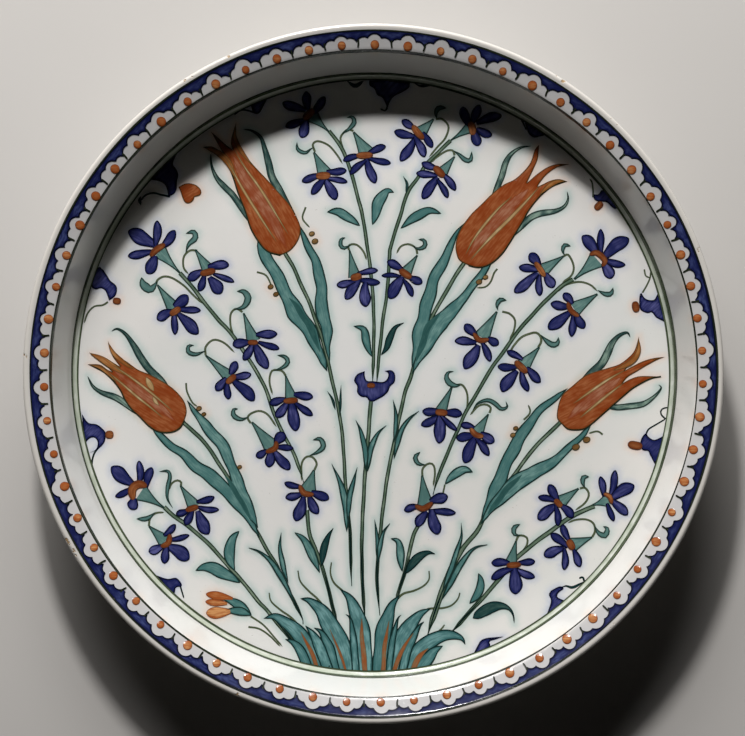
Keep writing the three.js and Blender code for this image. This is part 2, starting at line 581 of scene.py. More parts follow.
def glazed_over(tree, shader, colour, height=None):
    """The clear glaze that lies over every colour."""
    skin = group_node(tree, glaze_skin)
    tree.links.new(colour, shader.inputs["Base Color"])
    tree.links.new(skin.outputs["Roughness"], shader.inputs["Roughness"])
    shader.inputs["IOR"].default_value = 1.52
    total = skin.outputs["Height"]
    if height is not None:
        total = plus(tree, total, height)
    bump(tree, shader, total, 0.00006)


def painted_finish(name, body, thin, line, line_width, pool, streaks):
    """A colour laid with the brush: its body, where it is thin and its drawn edge, then how it is laid."""
    material, tree, shader = new_finish(name)
    wash = group_node(tree, brush_wash, Body=tint(*body), Thin=tint(*thin), Line=tint(*line),
                      Line_Width=line_width, Pool=pool, Streaks=streaks)
    glazed_over(tree, shader, wash.outputs["Colour"], wash.outputs["Height"])
    return material


# Colour bled into the glaze: its tint, how strong it gets, and how far it reaches.
BLED = {
    "bleed_green": ((170, 196, 190), 0.8, 2.1),
    "bleed_blue": ((176, 186, 208), 0.7, 1.9),
    "bleed_red": ((230, 200, 178), 0.6, 1.8),
}


def white_glaze_finish():
    """White ground with clouding, specks, colour bled from the painting, painted shade on the rim band, and
    a worn lip.
    """
    material, tree, shader = new_finish("white_glaze")
    where = place(tree)
    warm = step(tree, noise(tree, where, 9, 3), 0.35, 0.7)
    cool = step(tree, noise(tree, where, 26, 4), 0.4, 0.72)
    colour = mix(tree, warm, tint(224, 224, 221), tint(227, 224, 219))
    colour = mix(tree, times(tree, cool, 0.45), colour, tint(215, 218, 213))
    for name, (shade, most, _) in BLED.items():
        patchy = step(tree, noise(tree, where, 90, 3), 0.2, 0.8, 0.4, most)
        colour = mix(tree, times(tree, mark(tree, name), patchy), colour, tint(*shade))
    flat = add(tree, "VectorMath", {0: where, 1: (1, 1, 0)}, operation="MULTIPLY").outputs[0]
    radius = add(tree, "VectorMath", {0: flat}, operation="LENGTH").outputs["Value"]
    # Painted shade: the white of the rim band, from the dark line out to the lip, is made greyer than the
    # floor all round.
    band = step(tree, radius, WALL_LINE * MM, BAND_FOOT[0] * MM)
    colour = mix(tree, times(tree, band, 0.9), colour, tint(192, 191, 190))
    cream = step(tree, radius, 156.6 * MM, 157.8 * MM)
    colour = mix(tree, times(tree, cream, 0.9), colour, tint(204, 200, 192))
    speck = step(tree, noise(tree, where, 1100, 2), 0.7, 0.76)
    speck = times(tree, speck, step(tree, noise(tree, where, 70, 2), 0.5, 0.7))
    colour = mix(tree, times(tree, speck, 0.55), colour, tint(120, 104, 86))
    chips = step(tree, noise(tree, where, 120, 4, 0.6), 0.66, 0.69)
    chips = times(tree, chips, step(tree, radius, 157.8 * MM, 158.6 * MM))
    colour = mix(tree, chips, colour, tint(168, 142, 108))
    glazed_over(tree, shader, colour, times(tree, chips, -6.0))
    return material


def biscuit_finish():
    """The bare fired body, sandy and matt, grey where the foot has stood."""
    material, tree, shader = new_finish("bare_stonepaste")
    where = place(tree)
    grain = noise(tree, where, 1400, 3, 0.7)
    stain = step(tree, noise(tree, where, 45, 4), 0.4, 0.68)
    colour = mix(tree, grain, tint(196, 176, 146), tint(222, 206, 180))
    colour = mix(tree, times(tree, stain, 0.5), colour, tint(146, 128, 106))
    tree.links.new(colour, shader.inputs["Base Color"])
    tree.links.new(step(tree, grain, 0.2, 0.8, 0.72, 0.95), shader.inputs["Roughness"])
    bump(tree, shader, grain, 0.0002)
    return material


def ground_finish():
    """The plain pale surface that the dish stands on."""
    material, tree, shader = new_finish("pale_ground")
    cloud = noise(tree, place(tree), 3, 3)
    tree.links.new(mix(tree, cloud, tint(186, 183, 178), tint(196, 193, 189)), shader.inputs["Base Color"])
    shader.inputs["Roughness"].default_value = 0.8
    return material


glaze_skin = build_glaze_skin()
brush_wash = build_brush_wash()
WHITE = white_glaze_finish()
BISCUIT = biscuit_finish()
COBALT = painted_finish("cobalt", (28, 34, 82), (86, 88, 140), (12, 15, 40), 0.46, 0.6, 0.75)
GROUND_BLUE = painted_finish("cobalt_ground", (23, 28, 72), (62, 72, 118), (11, 15, 34), 0.46, 0.8, 0.85)
LEAF = painted_finish("copper_green_leaf", (66, 110, 108), (112, 150, 144), (28, 50, 46), 0.48, 0.6, 0.9)
DEEP_LEAF = painted_finish("copper_green_deep", (26, 58, 58), (70, 98, 90), (12, 32, 30), 0.3, 0.5, 0.6)
SEPAL = painted_finish("sepal_green", (42, 70, 68), (132, 156, 142), (30, 48, 42), 0.36, 0.3, 1.0)
BLADE = painted_finish("tuft_blue_green", (60, 104, 104), (112, 154, 154), (20, 42, 40), 0.48, 0.9, 1.0)
POOL = painted_finish("leaf_dark_pool", (38, 76, 74), (58, 98, 94), (52, 94, 90), 0.2, 0.0, 0.8)
VEIN_RED = painted_finish("tuft_vein_brown", (140, 78, 42), (120, 120, 92), (96, 90, 66), 0.1, 0.2, 0.9)
SNAIL = painted_finish("snail_olive_brown", (104, 74, 40), (150, 120, 78), (56, 52, 30), 0.2, 0.2, 0.8)
CUP = painted_finish("pale_green_cup", (76, 112, 108), (122, 154, 146), (34, 54, 48), 0.42, 0.3, 0.6)
STEM = painted_finish("stem_green", (80, 102, 84), (134, 150, 130), (36, 52, 38), 0.4, 0.2, 0.95)
TENDRIL = painted_finish("tendril_olive", (84, 94, 70), (124, 134, 106), (60, 70, 48), 0.05, 0.3, 0.5)
RED = painted_finish("red_bole", (130, 54, 18), (166, 104, 64), (84, 58, 28), 0.3, 0.15, 0.75)
MIDDLE_RED = painted_finish("red_bole_thin", (134, 62, 32), (162, 110, 84), (134, 64, 32), 0.1, 0.3, 0.9)
GOLD = painted_finish("bole_tip_ochre", (138, 82, 38), (176, 126, 76), (96, 72, 38), 0.16, 0.2, 0.9)
DOT_RED = painted_finish("red_bole_dot", (156, 82, 40), (202, 146, 94), (112, 60, 32), 0.12, 0.3, 0.8)
HEART = painted_finish("orange_heart", (108, 54, 27), (162, 104, 62), (66, 46, 36), 0.14, 0.3, 0.8)
STREAK = painted_finish("pale_streak", (166, 134, 90), (204, 184, 144), (110, 96, 60), 0.1, 0.2, 0.7)
BLACK = painted_finish("green_black_line", (30, 36, 25), (72, 82, 58), (25, 30, 20), 0.05, 0.0, 0.35)
EDGE_GREEN = painted_finish("ring_green", (56, 68, 46), (112, 124, 94), (44, 54, 36), 0.05, 0.0, 0.5)
WASH = painted_finish("pale_green_wash", (180, 189, 170), (212, 215, 206), (160, 172, 148), 0.1, 0.2, 1.0)


# ---------------------------------------------------------------- hyacinths
# A flower is: its heart (length, width, x, y, or width and the points of an arc),
# its petals (width, root x, y, tip x, y), its cup (two corners and where it meets
# the stalk), then its stalk and its curled bract (width and points), if it has them.
HYACINTHS = {
    "a": [
        (8, 4, -5.2, 102.6),
        [(4.5, -1.5, 104.5, 4.8, 107), (4, -1.5, 101, 7.2, 99), (5.5, -3.5, 99, 0, 89.5),
         (4, -6, 99, -12, 93.5), (4, -9, 101.8, -15.3, 100)], (-9, 105, -1.5, 105.5, -10.5, 113.5),
        (0.9, -10.5, 114, -13.5, 114.5, -16.5, 111, -15.8, 107, -14, 103),
        (2.5, -16, 112.5, -12.5, 115, -10.2, 118, -11.2, 120.5, -13.8, 120.2)],
    "b": [
        (7, 4.5, -24.5, 92.8),
        [(4.5, -21, 95, -13.5, 95.5), (3.6, -21.5, 91.5, -13, 90), (6, -22.5, 89, -18.5, 81.5),
         (4.8, -25, 90, -30, 84), (4.5, -27, 92.5, -34.5, 90)], (-28, 95, -21, 95.5, -29, 103.8),
        (0.9, -28.5, 104, -29.5, 107.5, -27, 109, -22, 107, -18, 102.5, -15.5, 98.5),
        (2, -29, 106, -30.5, 105.3, -33, 103.5, -36.5, 105, -37, 108.5)],
    "c": [
        (7, 4.5, -31.5, 121.5),
        [(5.5, -35, 124, -44, 127), (5, -32, 125.5, -33, 132.5), (5, -28.5, 123.5, -24, 130),
         (4.5, -35, 118.5, -42.5, 115.5), (6.2, -33, 117.5, -35, 110.5)],
        (-30.5, 117, -26, 121.5, -22, 113.5), None, None],
    "d": [
        (4, 17, 117, 19.5, 113.6, 22.5, 110.5),
        [(4.5, 16.5, 116.5, 12, 119.3), (5, 16.5, 112, 8.5, 114), (5.5, 17, 109, 11.5, 100),
         (5, 19, 110, 23, 102), (4.5, 23, 112, 26.5, 106.5)], (19.5, 117, 24, 112, 27, 120),
        (0.9, 28, 120, 31, 120, 34, 116.5, 32.5, 111, 29, 107, 25, 102),
        (2.6, 28.5, 120, 28, 123, 29.5, 125.3, 33, 125.2)],
    "e": [
        (7, 4.4, 29.8, 95.3),
        [(4.5, 27, 97.5, 21.5, 99.5), (4.5, 27, 93.5, 19, 94.5), (6, 28, 91, 22, 82.5),
         (4, 30, 90, 34, 83), (4.5, 33, 92.5, 37.5, 86.5)], (30, 98, 34, 94, 37, 102.5),
        (0.9, 37, 103, 36, 105.3, 33, 105, 28.5, 102, 26, 99.5),
        (2.5, 36, 105.5, 39, 103.5, 42, 101, 44.5, 101, 45, 105)],
    "f": [
        (4.4, 43.6, 119, 45, 116.5, 45.5, 112.5),
        [(5.5, 43, 119, 40.5, 126), (5, 46, 120, 48.5, 127), (5.5, 49, 119, 59, 122),
         (5, 49, 115, 54.5, 112.5), (6, 46.5, 113, 48, 107.5)], (42, 118, 43.5, 112.5, 35, 110), None,
        None],
    "g": [
        (3.8, -105, 54, -102.5, 57, -98, 60),
        [(8, -104, 60, -115.5, 66), (5, -102.5, 61, -102, 71), (5.5, -98.5, 60, -93.5, 66.5),
         (5, -105.5, 56, -115.5, 54), (7, -103.5, 52.5, -106.5, 46)], (-101, 52, -97, 57.5, -91, 46.5),
        None, None],
    "h": [
        (7.5, 4, -78, 47),
        [(5.5, -76, 49.8, -68, 50.5), (3.6, -73.5, 45.5, -65.5, 42.5), (7, -76, 43, -71.5, 37),
         (4.5, -80, 44, -82, 38), (5.5, -82.5, 46.5, -87.5, 43.5)], (-81.5, 48.5, -75.5, 50, -84, 57.5),
        (0.9, -83, 57, -86.5, 57, -89.3, 54, -89.3, 49, -87, 46),
        (3, -88.5, 56, -87, 60, -84, 63, -85, 65.8, -88.5, 65)],
    "i": [
        (6, 4, -93, 28.5),
        [(6.5, -92, 32, -87, 36), (4.2, -90, 29.5, -81, 29), (6.5, -90, 26, -82, 18),
         (4.3, -93.5, 26.5, -93, 17.5), (6, -96, 27.5, -101.5, 24.5)],
        (-97.5, 30, -92.5, 33.5, -101.5, 40.8),
        (0.9, -102, 41, -101.5, 43, -98.5, 44.7, -94.5, 44, -89, 40.5, -85, 36.5, -80, 32),
        (4.4, -101.5, 42.5, -104.5, 38.8, -108, 40.8, -109, 44.3)],
    "j": [
        (5, 3.2, -56.5, 14.3),
        [(5, -53, 18, -45, 18.5), (4, -52, 14, -44, 11.5), (6.5, -54.5, 11.5, -49.5, 2),
         (5, -57.5, 12, -61, 6), (5.5, -60, 14, -66, 13)], (-60, 17, -54, 17, -61, 28),
        (0.9, -61.5, 28.5, -64.5, 30, -67, 27.5, -67, 22, -65.5, 17),
        (3.5, -65.5, 29.7, -61, 31, -59, 35, -61, 38, -64.3, 38.2)],
    "l": [
        (6, 3.8, -66.5, -3),
        [(5, -66, 1, -64, 5.5), (4.5, -64.5, -1.5, -57, -0.5), (6.5, -64, -5, -55.5, -13),
         (4.5, -68, -6.5, -67.5, -12.5), (5, -70, -4, -73.5, -8.5)], (-70.5, -3, -66, 1, -78.5, 8),
        (0.9, -78.5, 8, -78.5, 12, -75, 15.3, -70, 14, -65, 9.5),
        (2.4, -78.5, 10.2, -83, 8.5, -86.5, 9.5, -86.5, 12.3, -84, 12.7)],
    "m": [
        (5.5, 4.3, -8.5, 45.5),
        [(3.8, -6, 47.5, 1.7, 48.8), (4, -5.5, 44, 2.8, 43), (6.5, -4, 41, -3.8, 31.5),
         (6, -8, 43, -13.5, 35), (4.5, -11, 43, -17.7, 41.5)], (-12.3, 47, -7, 48.5, -11.8, 58),
        (0.9, -12, 58, -12.3, 59.8, -10.8, 60.8, -8.3, 60.5, -6, 58.5, -4.5, 56, -3.8, 53.5),
        (2.2, -11, 60.6, -14.3, 59, -16, 60.4, -15.6, 63.1, -13.7, 63.9)],
    "n": [
        (7, 4.2, 14.5, 47.2),
        [(4.8, 11.5, 50, 5.8, 53), (3, 10.5, 46, 3.3, 46.3), (7, 12, 44, 7, 35.5),
         (3.8, 14.5, 43, 18, 36.5), (5, 18, 45, 22.5, 43)], (13.5, 51, 18, 48, 20, 56),
        (0.9, 20, 56.5, 19.4, 59, 17.5, 60.6, 14.9, 61.1, 12, 59.8, 10.3, 56.7),
        (2.4, 17.8, 60.4, 20.4, 59, 23.5, 60.4, 23, 63, 20.4, 63.4)],
    "o": [
        (3.2, 46.5, 20, 49.5, 16.5, 54, 17),
        [(5.5, 46.5, 20, 42.5, 24), (4.8, 46, 15.5, 37.8, 16), (7, 48, 12.5, 42.5, 3),
         (4.5, 51.5, 13.5, 54.5, 6.5), (5, 55, 16.5, 58.5, 14.5)], (48.7, 22, 54.5, 17.5, 57.5, 30),
        (0.9, 60, 30, 63.5, 29, 66, 26, 65.5, 21, 63.5, 17),
        (2.5, 58, 30.5, 57.5, 33, 59, 35.5, 62, 35.3)],
    "p": [
        (8, 4.2, 69, 4.2),
        [(4.2, 68, 8.6, 62.3, 11.6), (4.6, 65.5, 4.3, 58, 4.3), (6.6, 66, 0.8, 60.2, -7.6),
         (4.6, 69.8, 0.6, 72.5, -7.3), (5, 73, 2.5, 78.2, -3)], (68.5, 8.3, 73.5, 3.5, 77.5, 13.5),
        (1, 77, 13.5, 78.3, 16, 78, 18.5, 76, 20.3, 73, 19.8, 69, 18, 65.5, 14, 63.5, 10.5),
        (3, 78, 19.4, 80.5, 16.8, 83.5, 14.8, 86, 15.5, 86.4, 18.3)],
    "q": [
        (6, 4, 32, -17.5),
        [(5, 29.5, -17, 23, -17), (5, 30, -20, 22.5, -23.5), (7, 31.5, -20, 31, -32),
         (3.6, 33, -20, 39.5, -26), (5, 35, -17.5, 41.8, -18)], (29.5, -15.5, 35, -16, 37, -5),
        (0.9, 38, -4.8, 41.5, -4.5, 43.8, -8, 44.2, -13, 43.5, -18),
        (3, 37.5, 1.8, 35, 1.2, 34.2, -1.2, 35.8, -3.8, 38.5, -4.8, 41, -4.5)],
    "r": [
        (3.6, 75, 53.5, 77.2, 50.5, 80, 46.5),
        [(6, 76, 53, 72.5, 57.5), (5, 75, 50, 67.5, 51), (6, 75, 47, 65.5, 39),
         (4.5, 77.5, 45.5, 77.5, 37.5), (6, 81, 46.5, 84, 41.5)], (78, 53, 82, 48, 88.5, 56.3),
        (0.9, 88.5, 56.3, 90.5, 57, 92.5, 54, 93.3, 50.5, 92, 47, 88, 44),
        (2.2, 89, 56.5, 88, 59, 89, 61.5, 91.8, 61)],
    "s": [
        (3.6, 100.5, 57, 104, 58, 107.8, 54.5, 106.5, 51.5),
        [(6.5, 103, 59, 97, 66), (4.2, 106, 59, 105.7, 69.3), (7.5, 108.5, 57, 119, 65),
         (4.2, 109, 54.5, 117.5, 52.5), (6.5, 108, 51.5, 111, 46)],
        (99.5, 56.5, 105.5, 50.5, 93.5, 45.5), None, None],
    "t": [
        (3.2, 90.5, 35, 92, 31, 96, 28),
        [(5, 91.5, 35.5, 88.5, 39), (5, 90, 33, 82.5, 34), (6.5, 90.5, 29, 81.5, 22),
         (4.5, 93, 27.5, 92.5, 18.5), (5.5, 95.5, 28, 98.5, 22.5)], (93.5, 35.5, 97.5, 30, 104.5, 38.7),
        (0.9, 86, 40, 90, 43, 96, 44.3, 101, 43, 104.5, 40),
        (2.6, 104.5, 40.5, 108, 38.8, 110.8, 39, 111.8, 41.8)],
    "u": [
        (5, -105, -53.5, -109, -52.5, -112, -55, -111.5, -60),
        [(7.5, -113, -51.5, -122, -44.5), (4.5, -109, -51, -109, -41.5), (5, -105, -52, -103, -44.5),
         (4, -113, -55, -120, -58.5), (6.5, -111.5, -61, -112.5, -64.5)],
        (-109, -60.5, -103.5, -54.5, -97, -63.5), None, None],
    "v": [
        (6.5, 3.5, -84, -63.5),
        [(4, -80, -60, -73.5, -58), (3.8, -79.5, -63, -71.3, -64), (7, -80.5, -66.5, -76, -75.5),
         (4.5, -84.5, -66.5, -87, -71.5), (4, -87.5, -65, -91.5, -66.5)],
        (-87, -62, -81, -60, -89.5, -53),
        (0.9, -89.3, -53, -89.3, -51.2, -91.5, -50.6, -93.8, -52.3, -94.8, -55),
        (2.2, -93, -63.5, -95.5, -59, -95.5, -54, -94.5, -49, -95.5, -46.3, -99.5, -46.5)],
    "w": [
        (3.5, -94, -75.5, -95, -80, -98.5, -81.5),
        [(4, -95.5, -75, -91.5, -71), (3.5, -93, -78, -85, -76), (7.5, -93.5, -82, -85, -87.5),
         (5, -95.5, -83, -96.5, -89.5), (5.5, -99, -82, -104, -84)], (-100, -80, -96, -75, -104, -72),
        (0.9, -104, -72, -103.5, -68.5, -101, -66, -97, -65.5),
        (2.5, -101, -65.5, -105, -68.5, -109.8, -68.7)],
    "x": [
        (7, 3.6, -38.5, -12.7),
        [(5, -35, -10, -28, -11), (4.2, -35, -14.5, -28, -19.5), (7, -38, -15.5, -36, -27),
         (5.5, -41, -15, -45.5, -20.5), (4.5, -42.5, -12.5, -48.5, -14.5)],
        (-41.5, -10, -36, -9.5, -41, -1),
        (0.9, -41, -1, -42.3, 0.8, -44, 1.5, -47.5, 1, -48.5, -4, -47, -10),
        (2.4, -46.5, 1.2, -42, 3, -40, 5.5, -41.5, 7.8, -45, 8.5)],
    "y": [
        (3.4, -45, -31.5, -45.5, -35, -50, -37),
        [(6, -44, -31.5, -41, -27.8), (3.6, -43.5, -34.7, -36.8, -35), (6, -44.5, -38, -38.5, -45),
         (5.5, -48, -38, -48.5, -44), (4.5, -51, -37, -54.5, -39)],
        (-51, -35.5, -45.5, -30.5, -56.5, -23),
        (0.9, -57, -23.5, -58.5, -21, -57, -19, -53, -17.7, -49, -19.5, -45, -25),
        (2.6, -58, -20.5, -61.5, -21.7, -65, -20, -65, -17.2, -63, -16.8)],
    "z": [
        (3.5, -34, -52, -31.8, -55.8, -27, -56.5),
        [(4, -35, -52.5, -41, -51), (4.5, -34.5, -56.5, -40.5, -58), (6.5, -32.5, -59.5, -35.5, -69),
         (5.5, -28.5, -59, -25, -65.5), (5.5, -26.5, -56, -20, -58.5)], (-33, -51, -26, -55, -27.2, -45),
        (0.9, -27, -45, -26, -42, -28, -39, -31, -39, -33, -42, -33, -47, -33, -50),
        (2.8, -29.5, -38.3, -26, -36.8, -23, -34, -24.5, -30.5, -28, -31)],
    "aa": [
        (3.5, 45.5, -24.5, 48, -27.6, 52, -28.5),
        [(4.2, 45.5, -24, 41, -23), (5.5, 45.5, -28.5, 39, -29.5), (7, 47, -31, 43, -41),
         (4.5, 49.5, -31, 54.5, -37.5), (5.5, 52, -28, 57, -31)], (47.5, -23.5, 52.5, -26, 54, -18),
        (0.9, 54.5, -17.5, 55, -15, 52.5, -13.5, 49, -14.5, 45.5, -18.5),
        (2.3, 46.5, -16.5, 49, -13, 53.5, -11.5, 57, -13, 60, -15.5, 62.7, -14.5, 62, -11.8)],
    "bb": [
        (3.6, 20, -61, 24, -62.5, 28.5, -59.5),
        [(6, 29, -58.5, 35.5, -56.5), (4.2, 28.5, -63.5, 39.3, -64.3), (7, 28.5, -65, 31, -74.5),
         (5.5, 24.5, -65.5, 21, -71), (4.5, 20, -62, 15, -63.5)], (21.5, -60.5, 28, -57, 23.3, -47),
        (0.9, 23.5, -48, 23.5, -44, 26, -41.5, 28.5, -42, 29.3, -46, 28.5, -52),
        (2.5, 25, -42, 21.5, -41.5, 20, -38.5, 22.3, -36)],
    "cc": [
        (5, 3.6, 87, -59.2),
        [(5, 86, -56.5, 82.5, -50.5), (4, 84, -58, 77.5, -56.5), (6.5, 84.5, -61.5, 77.5, -67),
         (4, 86, -62, 87, -70), (5, 89.5, -61.5, 94, -66)], (87, -55.5, 91.5, -60, 96.5, -52.3),
        (0.9, 97, -52.3, 99.5, -52, 101.3, -55, 99.5, -59, 95, -62.5),
        (2.6, 99.5, -52, 98.3, -49.5, 98.8, -47, 101.3, -46.8)],
    "dd": [
        (3, 108, -54.5, 111, -56, 112, -59.5),
        [(4.2, 108, -54, 106.5, -46.5), (4.5, 111.5, -54, 113.5, -43.5), (7, 113, -56, 122.5, -50.5),
         (5.5, 113, -58.5, 119.5, -64.5), (3.8, 110.5, -61, 113, -67.5)],
        (107, -55, 110, -61.5, 103, -60), None, None],
    "ee": [
        (5.5, 4.4, 93, -78.5),
        [(4.5, 91.5, -75, 89, -69), (4.8, 90, -78.5, 83.5, -73.5), (6, 88, -81, 80.5, -84),
         (4.2, 90, -82, 90, -90.5), (4.5, 95, -82.5, 97.5, -89)], (94.5, -75, 97.5, -80.5, 103, -75),
        (0.9, 103, -75, 104.3, -72, 103.5, -68.5, 100, -66.7, 95, -67, 91.5, -68.5),
        (3, 104, -69.5, 106, -73, 109, -74, 110, -71, 108, -69.8)],
    "ff": [
        (7, 3.6, 66.5, -88.3),
        [(4.2, 70.5, -87, 76.5, -86.5), (4.6, 69.5, -91, 76.5, -94), (7.5, 67, -91.5, 67.5, -102),
         (5, 64, -91, 56, -95), (5, 62.5, -87.5, 56, -87.5)], (62.5, -86.5, 68.5, -86, 67.5, -77),
        (0.9, 67.5, -77, 69, -74.5, 72.5, -75.5, 72.5, -79, 70, -82.5),
        (2.6, 69.5, -74.5, 66.8, -74, 66.5, -71, 69.3, -69.2)],
}


# How far petals and cups run on under the heart.
PETAL_ROOT = 2.1
CUP_ROOT = 2.2
PETAL_SLIM = 0.9
HEART_SLIM = 0.84


def across_cup(cup, x, y, length):
    """The two ends of a heart of that length, set square to its cup."""
    run = Vector((cup[2] - cup[0], cup[3] - cup[1])).normalized() * length / 2
    return [(x - run.x, y - run.y), (x, y), (x + run.x, y + run.y)]


def set_back(start, end, extra):
    """The start of a run, moved back from its end by extra."""
    back = extra / math.dist(start, end)
    return (start[0] + back * (start[0] - end[0]), start[1] + back * (start[1] - end[1]))


def halfway(a, b):
    return ((a[0] + b[0]) / 2, (a[1] + b[1]) / 2)


def paint_hyacinth(name, heart, petals, cup, stalk, bract):
    """One flower: cobalt petals, an orange heart, a pale cup, its stalk and curled bract."""
    whole = "hyacinth_" + name
    blue = Paint()
    for width, *ends in petals:
        root, tip = pairs(ends)
        root = set_back(root, tip, PETAL_ROOT)
        bow = hand.uniform(-0.06, 0.06)
        x, y = halfway(root, tip)
        middle = (x + bow * (tip[1] - root[1]), y - bow * (tip[0] - root[0]))
        blue.stroke([root, middle, tip], width * PETAL_SLIM, petal, PETAL_LIFT, waver=0.09)
    blue.lay(whole + "_petals", COBALT, "bleed_blue")
    if len(heart) == 4:
        length, width, x, y = heart
        line = across_cup(cup, x, y, length)
    else:
        width = heart[0]
        line = pairs(heart[1:])
    orange = Paint()
    orange.stroke(line, width * HEART_SLIM, pill, HEART_LIFT, dome=0.08)
    orange.lay(whole + "_heart", HEART, "bleed_red")
    low, high, apex = pairs(cup)
    middle = set_back(halfway(low, high), apex, CUP_ROOT)
    green = Paint()
    green.stroke([middle, apex], math.dist(low, high) + 0.8, bell if stalk else trumpet, LEAF_LIFT)
    if bract:
        green.stroke(pairs(bract[1:]), bract[0], sprout, OVER_LIFT, tone=0.2)
    green.lay(whole + "_cup", CUP, "bleed_green")
    if stalk:
        painted(whole + "_stalk", [(stalk[0] + 0.15, *stalk[1:])], thread, STALK_LIFT, TENDRIL)


# ---------------------------------------------------------------- stems and leaves
# Each is its width, or its widths from start to end, and its points.
STEMS = {
    "flower_c": (
        1.9, -22, 114, -17, 107.5, -14.5, 103, -12, 96, -10, 90, -8, 82, -6, 75, -3.5, 60, -2, 50, -0.7,
        38, 0, 25, 0, 10, -0.2, 0, -0.3, -5),
    "flower_f": (
        1.9, 35, 110, 30, 105, 24, 99, 20, 92.5, 16, 87, 13.5, 80.5, 12, 75, 7.5, 60, 7, 55, 6, 38, 4.5,
        28, 3.5, 18, 2.5, 8, 1.8, -2, 1.6, -5.5),
    "flower_g": (
        2, -91, 46.5, -86, 41, -80, 33.5, -73, 25, -68, 20, -62, 12, -58, 6, -53, -2, -50, -8, -46.5,
        -18, -43, -26, -37, -37, -33.5, -46, -32, -51),
    "flower_s": (
        2, 93, 45.5, 88, 42.5, 84, 39, 79, 34, 74, 28.5, 70, 24, 65, 17.5, 60, 10, 55.5, 4, 51, -4, 47.5,
        -10, 43, -18, 40, -25, 36.5, -33, 32.5, -43, 30, -50, 28.5, -56),
    "flower_u": (
        2.1, -97, -63, -92, -67.5, -86, -71.5, -80, -76.5, -74, -82, -66, -91, -62, -95, -57, -101, -52,
        -107, -49, -110, -44, -116, -38, -123, -34, -129, -31.5, -135),
    "flower_dd": (
        2.3, 104, -60.5, 99, -62.5, 94, -65, 88, -69, 82, -73.5, 76, -78, 70, -83, 66, -87, 58, -97, 52,
        -104, 46, -110.5, 40, -117.5, 37, -120.5),
    "flower_z": (
        2, -30.4, -63.8, -30, -66, -29, -75, -26, -82, -23, -90, -20.5, -98, -18, -108, -15.5, -116),
    "flower_bb": (2, 24, -66, 22, -70, 19.5, -75, 17.5, -84, 15.5, -93, 13, -101, 11.5, -106),
    "knot": (
        2, -1, -12, -1.5, -20, -2, -28, -3, -40, -4, -60, -4.5, -75, -4.3, -90, -3.5, -105, -2.5, -114),
    "upper_left_tulip": (
        1.9, -43.5, 59, -41.5, 55.5, -38, 50, -35, 43, -31, 35, -28, 27, -25, 19, -22, 9, -20, 0, -18,
        -8, -16, -17, -14.5, -26, -13.5, -36, -12.7, -48, -11.5, -60, -10, -75, -9.5, -90, -9, -99),
    "upper_right_tulip": (
        2, 43.5, 55, 41.5, 52, 37, 45, 32, 36, 28, 29, 25, 22, 21, 12, 17.5, -1, 15, -8, 13, -17, 11,
        -27, 9.5, -35, 7.5, -45, 5.5, -60, 4, -75, 2.8, -90, 3, -100, 4.3, -112.5),
    "left_tulip": (
        2, -88.5, -23.5, -84, -27.5, -80, -31, -76, -36, -72, -42, -68, -48, -63, -57, -58, -66, -53,
        -75, -49, -82, -44, -90, -40, -99, -36, -106, -32, -114, -31.5, -117),
    "right_tulip": (
        (2, 2, 2, 2, 2.4, 3.2, 3.2, 3), 88.5, -20.5, 82, -27, 76, -33, 70, -41, 65, -48, 58, -56, 53,
        -65, 49, -73, 42.5, -81, 38, -89, 34.5, -97, 31.5, -106, 28.5, -115, 26.5, -122),
}

